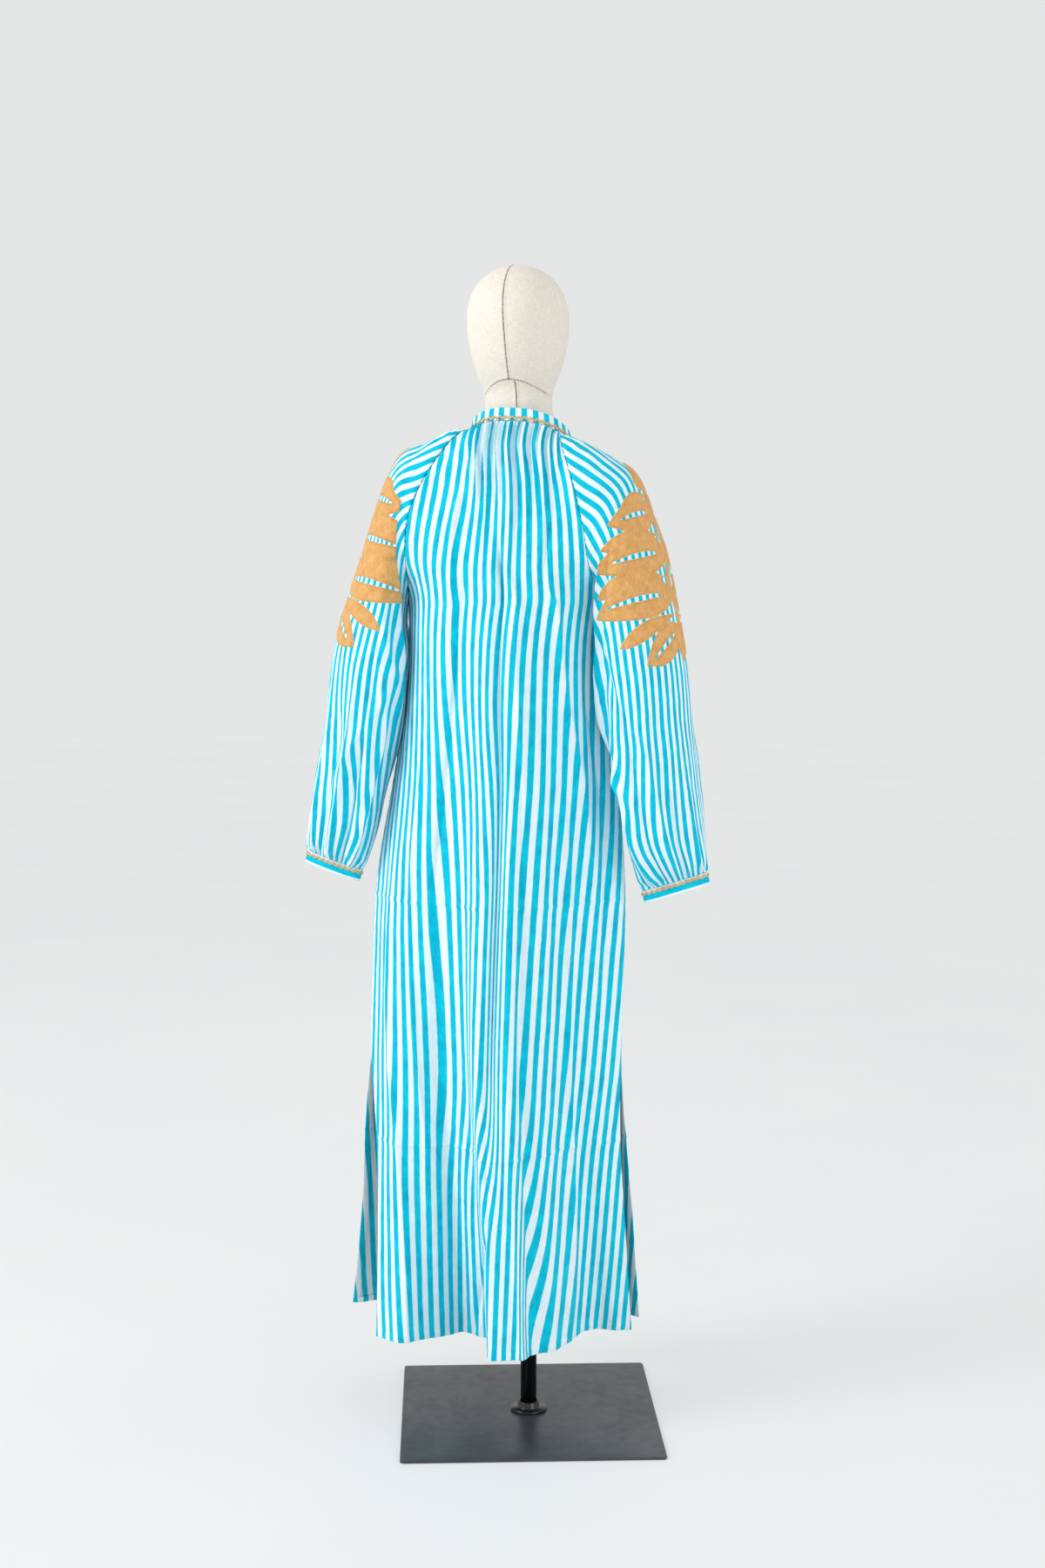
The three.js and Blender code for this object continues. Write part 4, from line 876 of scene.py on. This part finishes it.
def inside_distance(outline, points):
    """Signed distance to an outline, positive inside it."""
    a, b = outline, np.roll(outline, -1, axis=0)
    best = np.full(len(points), 1e9)
    crossings = np.zeros(len(points), bool)
    for p, q in zip(a, b):
        d = q - p
        t = np.clip(((points - p) @ d) / max(d @ d, 1e-12), 0, 1)
        best = np.minimum(best, np.linalg.norm(points - p - t[:, None] * d, axis=1))
        if p[1] != q[1]:
            spans = (p[1] > points[:, 1]) != (q[1] > points[:, 1])
            at = p[0] + (points[:, 1] - p[1]) * d[0] / d[1]
            crossings ^= spans & (points[:, 0] < at)
    return np.where(crossings, best, -best)


def motif_distance(points):
    """How far inside the motif each flat point lies, negative outside it and in the leaves' cut out veins."""
    line = np.array([stem_point(f) for f in np.linspace(0, 1, 49)])
    half = np.array([MOTIF["stem"] / 2, 0])
    whole = inside_distance(np.concatenate([line - half, (line + half)[::-1]]), points)
    whole = np.maximum(whole, inside_distance(leaf_outline(END_LEAF, 1), points))
    veins = np.full(len(points), -1e9)
    for leaf, count in [(leaf, 20) for leaf in LEAVES] + [(leaf, 14) for leaf in SLIPS]:
        for side in (1, -1):
            whole = np.maximum(whole, inside_distance(leaf_outline(leaf, side, count=count), points))
            if leaf["width"] > VEINED:
                vein = leaf_outline(leaf, side, share=0.13, start=0.2, end=0.84, count=14)
                veins = np.maximum(veins, inside_distance(vein, points))
    return np.minimum(whole, -veins)


def rolled_flat(side, base):
    """Where points of the sleeve lie on the motif's flat drawing, which is rolled round the arm's axis."""
    arm = ARM[side]
    axis = arm["axis_x"] + arm["slope"] * (MOTIF["top"] - base[..., 2])
    turn = np.arctan2(base[..., 1] - ARM_Y, arm["outward"] * (base[..., 0] - axis))
    return np.stack([MOTIF["round"] * turn, base[..., 2] - arm["lift"]], axis=-1)


def applique_lift(inset):
    """The sewn cloth's height over the sleeve: a rounded edge and the stitched groove along it."""
    edge = np.clip(inset / 1.1, 0, 1)
    full = MOTIF["gap"] + MOTIF["thick"]
    return 0.05 + full * np.sqrt(1 - (1 - edge) ** 2) - 0.45 * bell(inset - 2.4, 0.55)


def applique(side, cloth, finish):
    """The motif laid on the sleeve: the sleeve's own points, moved out, and cut off along the outline."""
    grid, normal, _, u, t = cloth
    used = np.where((t > 0.36) & (t < 1.5))[0]
    fine_u, fine_t = np.linspace(0.1, 0.9, 330), np.linspace(t[used[0]], t[used[-1]], 300)

    def finer(field):
        wide = np.array([[np.interp(fine_u, u, field[i, :, k]) for i in used] for k in range(3)])
        fine = [[np.interp(fine_t, t[used], wide[k, :, j]) for j in range(len(fine_u))] for k in range(3)]
        return np.array(fine).transpose(2, 1, 0)

    base, out = finer(grid), unit(finer(normal))
    points = rolled_flat(side, base)
    middle = (MOTIF["top"] + MOTIF["bottom"]) / 2
    near = np.maximum(np.abs(points[..., 0]), np.abs(points[..., 1] - middle)) < MOTIF["half"]
    distance = np.full(points.shape[:2], -50.0)
    distance[near] = motif_distance(points[near])
    along = arc_across(base)
    distance = np.minimum(distance, np.minimum(along, along[:, -1:] - along))
    places, flats, insets, index = [], [], [], {}

    def vertex(a, b=None):
        """A corner inside the outline, or where the outline crosses between two corners."""
        key = a if b is None else (min(a, b), max(a, b))
        if key not in index:
            index[key] = len(places)
            f = 0 if b is None else distance[a] / (distance[a] - distance[b])
            b = a if b is None else b
            lift = applique_lift(distance[a]) if a == b else 0.05
            places.append(mix(base[a], base[b], f) + mix(out[a], out[b], f) * lift)
            flats.append(mix(points[a], points[b], f))
            insets.append(min(max(distance[a], 0.001), 6) if a == b else 0.001)
        return index[key]

    quads, triangles = [], []
    inner = distance > 0
    some = inner[:-1, :-1] | inner[:-1, 1:] | inner[1:, :-1] | inner[1:, 1:]
    for i, j in zip(*np.where(some)):
        corners = [(i, j), (i + 1, j), (i + 1, j + 1), (i, j + 1)]
        if all(inner[c] for c in corners):
            quads.append([vertex(c) for c in corners])
            continue
        loop = []
        for a, b in zip(corners, corners[1:] + corners[:1]):
            if inner[a]:
                loop.append(vertex(a))
            if inner[a] != inner[b]:
                loop.append(vertex(a, b))
        triangles += [[loop[0], loop[k], loop[k + 1]] for k in range(1, len(loop) - 1)]
    shell = Shell()
    shell.add(np.array(places)[None], np.array(flats)[None], np.array(insets))
    turned = slice(None, None, -1) if side == "left" else slice(None)
    shell.faces = [np.array(quads)[:, turned], np.array(triangles)[:, turned]]
    return shell.make("applique_cloth_" + side, finish)


FORM_COLUMNS = "z x y side back front power"
TORSO = table(
    FORM_COLUMNS,
    (780, -30, 0, 96, 62, 62, 2),
    (790, -30, 0, 108, 76, 74, 2),
    (860, -30, 0, 122, 92, 86, 2),
    (950, -28, 0, 112, 84, 80, 2),
    (1030, -26, 0, 98, 72, 76, 2),
    (1100, -24, 0, 102, 74, 88, 2),
    (1180, -20, 0, 112, 84, 108, 2),
    (1250, -16, 0, 122, 84, 104, 2),
    (1310, -14, 0, 136, 82, 88, 2),
    (1355, -12, 0, 148, 74, 76, 2),
    (1384, -12, 0, 148, 66, 64, 1.85),
    (1400, -12, 0, 140, 60, 56, 1.7),
    (1414, -12, 0, 124, 54, 48, 1.5),
    (1425, -12, 0, 100, 52, 46, 1.4),
    (1435, -12, 1, 73, 52, 46, 1.5),
    (1452, -12, 2, 59, 51, 47, 1.9),
)
HEAD = table(
    FORM_COLUMNS,
    (1452.3, -14, 2, 58, 50, 48, 2),
    (1472, -15, 4, 52, 48, 46, 2),
    (1496, -16, 6, 49, 48, 46, 2),
    (1518, -17, 8, 50, 51, 50, 2),
    (1540, -18, 10, 58, 66, 66, 2),
    (1565, -18, 11, 66, 80, 78, 2),
    (1598, -18, 11, 72, 90, 87, 2),
    (1627, -18, 10, 73, 92, 87, 2),
    (1653, -18, 9, 68, 84, 80, 2),
    (1674, -18, 8, 56, 68, 64, 2),
    (1690, -18, 7, 37, 45, 42, 2),
    (1698, -18, 6, 16, 20, 19, 2),
)
# The head's seams, as places on its back: across in mm from its middle, and height
CENTRE_SEAM = table("z x", (1470, 0.0), (1520, 0.5), (1580, 0.5), (1640, -1.0), (1690, -1.5))


ROUND, CAP_RISE = 384, 1.6  # points round the form, and the rise of the crown over its last ring
# The seams on the back of the head: a curve over the nape, and a short one below it
NAPE = dict(z=1531, droop=0.0085, half=46)
LOW_SEAM_X, FAR_OFF = 8, 6.0


def seam_ridge(off, puffed, sunk, stitched=1.0):
    """A sewn seam across its distance off the line: the cloth puffs up on both sides of a sunk line."""
    return puffed[0] * bell(off - puffed[1], 1.3) * stitched - sunk * bell(off, 0.9)


def head_seams(x, z):
    """The relief of the seams on the back of the head, and the distance to the nearest of them."""
    centre = np.abs(x - sample(CENTRE_SEAM, "z", z)["x"])
    ridge = seam_ridge(centre, (1.2, 2.2), 1.6, 1 + 0.35 * waves(z, 6)) * ease((z - NAPE["z"] + 3) / 5)
    nape = np.abs(z - (NAPE["z"] - NAPE["droop"] * x * x))
    ridge = ridge + seam_ridge(nape, (1.0, 2), 1.2)
    low = np.abs(x - LOW_SEAM_X)
    ridge = ridge + seam_ridge(low, (1.0, 2), 1.2) * ease((NAPE["z"] + 1 - z) / 5)
    above = z > NAPE["z"] - 1
    off = np.minimum(np.where(above, centre, FAR_OFF), np.where(np.abs(x) < NAPE["half"], nape, FAR_OFF))
    return ridge, np.minimum(off, np.where(z < NAPE["z"] - 1, low, FAR_OFF))


def form_piece(name, rows, z, finish, head):
    """A linen covered form, with the ridge of its centre back seam and, on the head, the curved nape seam."""
    angles = np.radians(np.linspace(-180, 180, ROUND + 1)[:-1] - 90)
    z = z[:, None]
    r = sample(rows, "z", z)
    cosine, sine = np.cos(angles)[None, :], np.sin(angles)[None, :]
    bent_c = np.sign(cosine) * np.abs(cosine) ** (2 / r["power"])
    bent_s = np.sign(sine) * np.abs(sine) ** (2 / r["power"])
    depth = np.where(bent_s < 0, r["back"], r["front"])
    grid = vec(r["x"] + r["side"] * bent_c, r["y"] + depth * bent_s, z)
    out = unit(vec(cosine / r["side"], sine / depth, 0))
    x = grid[..., 0] - r["x"]
    if head:
        ridge, seam = head_seams(x, z)
    else:
        ridge, seam = bell(x, 1.4), FAR_OFF
    seam = np.where(sine < 0, np.minimum(seam, FAR_OFF), FAR_OFF) + 0 * x
    places = np.broadcast_arrays((np.degrees(angles)[None, :] + 270) / 360, (z - z[0]) / (z[-1] - z[0]))
    uneven = 0.25 * lattice(71, 24, 18, *places)
    grid = grid + out * ((sine < 0) * ridge + uneven)[..., None]
    arc = arc_across(grid)
    flat = np.stack([arc - arc[:, ROUND // 2][:, None], arc_down(grid)], axis=-1)
    shell = Shell()
    ids = shell.add(grid, flat, np.maximum(seam, 0.001))
    shell.quads(ids, True, closed=True)
    for row, top in ((0, False), (-1, True)):
        centre = grid[row].mean(axis=0) + np.array([0, 0, CAP_RISE * (head and top)])
        shell.fan(centre, flat[row, :1], ids[row], top, FAR_OFF)
    return shell.make(name, finish)


def lathe(name, profile, finish, closed_profile=False):
    """Turns a profile of radius and height round the stand's upright axis."""
    angles = np.linspace(0, 2 * np.pi, 73)[:-1]
    radius, z = np.array(profile).T[..., None]
    grid = vec(radius * np.cos(angles), radius * np.sin(angles), z)
    shell = Shell()
    ids = shell.add(grid, vec(angles * 20, z))
    if closed_profile:
        ids = np.concatenate([ids, ids[:1]])
    shell.quads(ids, True, closed=True)
    return shell.make(name, finish)


PLATE = dict(side=380.0, corner=6.0, thick=4.0, turn=15.3)
# From the plate's underside up over its small bevels: how far in from the outline, and how high
PLATE_SECTION = ((1.2, 0), (0.25, 0.15), (0, 0.6), (0, 3.2), (0.2, 3.7), (0.6, 3.95), (1.4, PLATE["thick"]))


def plate(finish):
    """The square plate, with rounded corners and a small bevel along its edges."""
    turn, far = math.radians(PLATE["turn"]), PLATE["side"] / 2 - PLATE["corner"]
    corners = ((1, -1, -90), (1, 1, 0), (-1, 1, 90), (-1, -1, 180))
    angles = np.concatenate([np.radians(np.linspace(start, start + 90, 9)) for _, _, start in corners])
    middles = np.repeat([(x * far, y * far) for x, y, _ in corners], 9, axis=0)
    arcs = np.stack([np.cos(angles), np.sin(angles)], axis=-1)
    rings = [(middles + (PLATE["corner"] - inset) * arcs, z) for inset, z in PLATE_SECTION]
    rings += [(rings[-1][0] * share, PLATE["thick"]) for share in (0.9, 0.6, 0.3)]
    cosine, sine = math.cos(turn), math.sin(turn)
    turned = [(x * cosine - y * sine, x * sine + y * cosine, z) for (x, y), z in ((r.T, z) for r, z in rings)]
    grid = np.stack([vec(x, y, z) for x, y, z in turned])
    shell = Shell()
    ids = shell.add(grid, grid[..., :2])
    shell.quads(ids, True, closed=True)
    shell.fan((0, 0, PLATE["thick"]), np.zeros((1, 2)), ids[-1], True)
    shell.fan((0, 0, 0), np.zeros((1, 2)), ids[0])
    return shell.make("base_plate_steel", finish)


# Materials


class Finish:
    """A node material. Each call adds a node, sets its values, and gives back the output asked for."""

    def __init__(self, name):
        self.material = bpy.data.materials.new(name)
        self.material.use_nodes = True
        self.tree = self.material.node_tree
        self.shader = next(n for n in self.tree.nodes if n.type == "BSDF_PRINCIPLED")

    def node(self, kind, output=0, inputs=(), **settings):
        made = self.tree.nodes.new("ShaderNode" + kind)
        for key, value in settings.items():
            setattr(made, key, value)
        for key, value in dict(inputs).items():
            socket = made.inputs[key]
            if isinstance(value, bpy.types.NodeSocket):
                self.tree.links.new(value, socket)
            else:
                socket.default_value = value
        return made.outputs[output]

    def math(self, operation, a, b=0.0):
        return self.node("Math", operation=operation, inputs={0: a, 1: b})

    def times(self, a, b):
        return self.math("MULTIPLY", a, b)

    def plus(self, a, b):
        return self.math("ADD", a, b)

    def cloth_noise(self, flat, x, y, detail=3.0, roughness=0.6):
        """Noise over the flat cut, x and y grains a metre across and down it."""
        return self.noise(self.stretched(flat, x, y), 1.0, detail, roughness)

    def span(self, value, low, high, to_low=0.0, to_high=1.0, soft=True):
        kind = "SMOOTHSTEP" if soft else "LINEAR"
        inputs = {"Value": value, "From Min": low, "From Max": high, "To Min": to_low, "To Max": to_high}
        return self.node("MapRange", interpolation_type=kind, inputs=inputs)

    def blend(self, factor, a, b, mode="MIX"):
        made = self.tree.nodes.new("ShaderNodeMix")
        made.data_type, made.blend_type = "RGBA", mode
        for key, value in ((0, factor), (6, a), (7, b)):
            if isinstance(value, bpy.types.NodeSocket):
                self.tree.links.new(value, made.inputs[key])
            else:
                made.inputs[key].default_value = value
        return made.outputs[2]

    def noise(self, vector, scale, detail=2.0, roughness=0.5):
        inputs = {"Vector": vector, "Scale": scale, "Detail": detail, "Roughness": roughness}
        return self.node("TexNoise", inputs=inputs)

    def stretched(self, vector, x, y, z=1.0):
        return self.node("Mapping", inputs={"Vector": vector, "Scale": (x, y, z)})

    def set(self, **values):
        for key, value in values.items():
            socket = self.shader.inputs[key.replace("_", " ")]
            if isinstance(value, bpy.types.NodeSocket):
                self.tree.links.new(value, socket)
            else:
                socket.default_value = value

    def bump(self, height, strength, distance, before=None):
        inputs = {"Strength": strength, "Distance": distance, "Height": height}
        if before is not None:
            inputs["Normal"] = before
        return self.node("Bump", inputs=inputs)


def linear(hex_colour):
    parts = [int(hex_colour[k : k + 2], 16) / 255 for k in (1, 3, 5)]
    return tuple(c / 12.92 if c <= 0.04045 else ((c + 0.055) / 1.055) ** 2.4 for c in parts) + (1.0,)


def weave(f, flat, thread, depth, before=None):
    """Threads over and under, from the cloth's own coordinates in metres."""
    x, y = (f.node("SeparateXYZ", k, {"Vector": flat}) for k in (0, 1))
    warp, weft = (f.math("SINE", f.times(way, 2 * math.pi / thread)) for way in (x, y))
    height = f.plus(f.times(f.times(warp, weft), 0.5), f.cloth_noise(flat, 900, 60, 3.0, 0.5))
    return f.bump(height, 0.35, depth, before)


def striped_cotton():
    f = Finish("striped_cotton")
    flat = f.node("UVMap", uv_map="flat")
    ragged, drift = f.cloth_noise(flat, 260, 90), f.cloth_noise(flat, 14, 5, 2.0, 0.5)
    x = f.plus(f.node("SeparateXYZ", 0, {"Vector": flat}), f.times(f.math("SUBTRACT", ragged, 0.5), 0.0009))
    x = f.plus(x, f.times(f.math("SUBTRACT", drift, 0.5), 0.0016))
    phase = f.math("FRACT", f.math("DIVIDE", x, STRIPE / 1000))
    stripe = f.times(f.span(phase, -0.01, 0.03), f.span(phase, 0.505, 0.545, 1.0, 0.0))
    streaks, cloud = f.cloth_noise(flat, 1500, 70), f.cloth_noise(flat, 60, 40, 3.0, 0.55)
    tone = f.plus(f.times(streaks, 0.55), f.times(cloud, 0.45))
    cyan = f.blend(f.span(tone, 0.34, 0.66), linear("#00A9CB"), linear("#00D0E9"))
    white = f.blend(f.span(tone, 0.3, 0.7), linear("#D9ECF3"), linear("#ECF8FC"))
    f.set(Base_Color=f.blend(stripe, white, cyan), Roughness=0.85, Specular_IOR_Level=0.12, Sheen_Weight=0.03)
    creased = f.bump(f.cloth_noise(flat, 46, 20, 4.0, 0.62), 0.55, 0.0035)
    f.set(Normal=weave(f, flat, 0.00055, 0.00012, creased))
    return f.material


def tan_cotton(name, base, light, edge=False):
    """Plain tan cloth; with edge, a stitched line and a pale rim follow its outline."""
    f = Finish(name)
    flat = f.node("UVMap", uv_map="flat")
    streaks, cloud = f.cloth_noise(flat, 1100, 110), f.cloth_noise(flat, 90, 70, 4.0)
    tone = f.plus(f.times(streaks, 0.6), f.times(cloud, 0.4))
    colour = f.blend(f.span(tone, 0.32, 0.68), base, light)
    if edge:
        inset = f.node("Attribute", 2, attribute_name="inset")
        line = f.times(f.span(inset, 1.7, 2.3), f.span(inset, 2.5, 3.1, 1.0, 0.0))
        colour = f.blend(f.times(line, 0.35), colour, linear("#A9743A"))
        colour = f.blend(f.times(f.span(inset, 0.0, 0.7, 1.0, 0.0), 0.55), colour, linear("#E9CFA6"))
    f.set(Base_Color=colour, Roughness=0.85, Specular_IOR_Level=0.25, Sheen_Weight=0.1)
    f.set(Normal=weave(f, flat, 0.0006, 0.00015))
    return f.material


def linen():
    f = Finish("linen_cover")
    flat = f.node("UVMap", uv_map="flat")
    tone = f.times(f.plus(f.cloth_noise(flat, 90, 1300), f.cloth_noise(flat, 1300, 90)), 0.5)
    colour = f.blend(f.span(tone, 0.36, 0.64), linear("#DDD4C6"), linear("#F0EAE0"))
    # Painted shade: the linen is darkened along its seams, more in some patches than others by noise, standing
    # in for the shade in the seam grooves.
    seam = f.span(f.node("Attribute", 2, attribute_name="inset"), 0.6, 1.5, 1.0, 0.0)
    painted_seam_shade = f.span(f.cloth_noise(flat, 260, 260, 2.0, 0.5), 0.35, 0.6, 0.35, 0.9)
    colour = f.blend(f.times(seam, painted_seam_shade), colour, linear("#8E8470"))
    f.set(Base_Color=colour, Roughness=0.9, Specular_IOR_Level=0.15, Sheen_Weight=0.05)
    f.set(Normal=f.bump(tone, 0.5, 0.0004, weave(f, flat, 0.0011, 0.00025)))
    return f.material


def painted_steel(name, dark, light, roughness, specks):
    f = Finish(name)
    place = f.node("TexCoord", 3)
    cloud = f.noise(place, 14.0, 4.0)
    colour = f.blend(f.span(cloud, 0.35, 0.65), dark, light)
    if specks:
        dust = f.node("TexVoronoi", inputs={"Vector": place, "Scale": 34.0})
        spot = f.span(dust, 0.05, 0.085, 1.0, 0.0)
        chosen = f.span(f.noise(place, 9.0, 2.0), 0.56, 0.6)
        colour = f.blend(f.times(f.times(spot, chosen), 0.5), colour, linear("#8D9092"))
    rough = f.span(f.noise(place, 60.0, 4.0), 0.3, 0.7, roughness - 0.05, roughness + 0.07, False)
    f.set(Base_Color=colour, Roughness=rough, Specular_IOR_Level=0.5)
    f.set(Normal=f.bump(f.noise(place, 900.0, 2.0), 0.12, 0.0001))
    return f.material


def floor_paint():
    f = Finish("pale_floor")
    place = f.node("TexCoord", 3)
    cloud = f.noise(place, 1.3, 3.0)
    f.set(Base_Color=f.blend(f.span(cloud, 0.3, 0.7), linear("#AAACAD"), linear("#ADAFAF")), Roughness=0.6)
    f.set(Emission_Color=(0.975, 0.99, 0.985, 1), Emission_Strength=0.4)
    return f.material


def make_camera():
    data = bpy.data.cameras.new("camera")
    data.sensor_fit, data.sensor_height, data.sensor_width, data.lens = "VERTICAL", 36, 36, CAMERA["lens"]
    camera = bpy.data.objects.new("camera", data)
    around = math.radians(CAMERA["around"])
    camera.location = (CAMERA["far"] * math.sin(around), -CAMERA["far"] * math.cos(around), CAMERA["high"])
    camera.rotation_euler = (math.radians(90 + CAMERA["tilt"]), 0, math.radians(CAMERA["pan"]))
    bpy.context.scene.collection.objects.link(camera)
    bpy.context.scene.camera = camera


def area_light(name, place, target, size, power):
    data = bpy.data.lights.new(name, "AREA")
    data.shape, data.size, data.size_y, data.energy = "RECTANGLE", size[0], size[1], power
    lamp = bpy.data.objects.new(name, data)
    lamp.location = place
    from_target = Vector(place) - Vector(target)
    lamp.rotation_euler = from_target.to_track_quat("Z", "Y").to_euler()
    bpy.context.scene.collection.objects.link(lamp)


FLOOR_Z = -0.5  # just under the plate


def studio():
    world = bpy.data.worlds.new("studio")
    bpy.context.scene.world = world
    world.use_nodes = True
    background = next(n for n in world.node_tree.nodes if n.type == "BACKGROUND")
    background.inputs["Color"].default_value = (0.93, 0.948, 0.942, 1)
    background.inputs["Strength"].default_value = 0.84
    bpy.context.scene.view_settings.view_transform = "Standard"
    area_light("key", (-3.3, -2.5, 2.9), (0, 0, 0.95), (1.7, 1.9), 104)
    area_light("side", (3.0, -2.0, 1.2), (0, 0, 0.6), (1.8, 2.2), 26)
    angles = np.linspace(0, 2 * np.pi, 97)[:-1]
    radius = 1000 * np.array([0.5, 1.5, 4, 9, 18])[:, None]
    grid = vec(radius * np.cos(angles), radius * np.sin(angles), FLOOR_Z)
    shell = Shell()
    ids = shell.add(grid, grid[..., :2])
    shell.quads(ids, False, closed=True)
    shell.fan((0, 0, FLOOR_Z), np.zeros((1, 2)), ids[0], True)
    shell.make("floor", floor_paint())


def ride(piece, nodes):
    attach(piece, "root")
    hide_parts(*nodes)
    return piece


make_camera()
studio()

cotton = striped_cotton()
tan = tan_cotton("tan_trim", linear("#C98F4A"), linear("#E8B676"), edge=True)
tan_braid = tan_cotton("tan_braid", linear("#D29A58"), linear("#EDBE84"))
cover = linen()
satin = painted_steel("black_satin", linear("#313437"), linear("#3C4043"), 0.34, True)
gloss = painted_steel("black_gloss", linear("#0E0F10"), linear("#16181A"), 0.2, False)

back = ride(body_panel("back", cotton, 340), ["back_panel"])
front = ride(body_panel("front", cotton, 260), ["front_panel"])
band = ride(neckband(cotton), ["neckband"])
neck_trim = ride(neck_braid(tan_braid), ["ricrac_neck"])
for side in ("left", "right"):
    cloth = sleeve_grid(side, 240)
    arm = ride(sleeve(side, cloth, cotton), ["sleeve_" + side])
    wrist = ride(cuff(side, cotton), ["cuff_" + side])
    trim = ride(cuff_braid(side, tan_braid), ["ricrac_cuff_" + side])
    motif = ride(applique(side, cloth, tan), ["applique_" + side])

head_z = np.concatenate([np.linspace(HEAD["z"][0], 1680, 150), np.linspace(1681.5, HEAD["z"][-1], 14)])
ride(form_piece("form_head_linen", HEAD, head_z, cover, True), ["form_head"])
torso_z = np.linspace(TORSO["z"][0], TORSO["z"][-1], 150)
ride(form_piece("form_torso_linen", TORSO, torso_z, cover, False), ["form_torso"])

foot = 4.3
radius, top = 12, 779.7
# The flange and its collar: radius, and height over the plate
collar = [(12.3, 0), (26.4, 0), (27, 0.6), (27, 3.2), (26.2, 4)]
collar += [(17, 4), (16.1, 4.9), (16, 13), (15.2, 14), (12.3, 14)]
flange = lathe("pole_flange_steel", [(far, foot + rise) for far, rise in collar], gloss, True)
ride(flange, ["pole_flange"])
pole_profile = [(0.01, foot), (radius, foot), (radius, top), (0.01, top)]
ride(lathe("pole_steel", pole_profile, gloss), ["pole"])
ride(plate(satin), ["base_plate"])
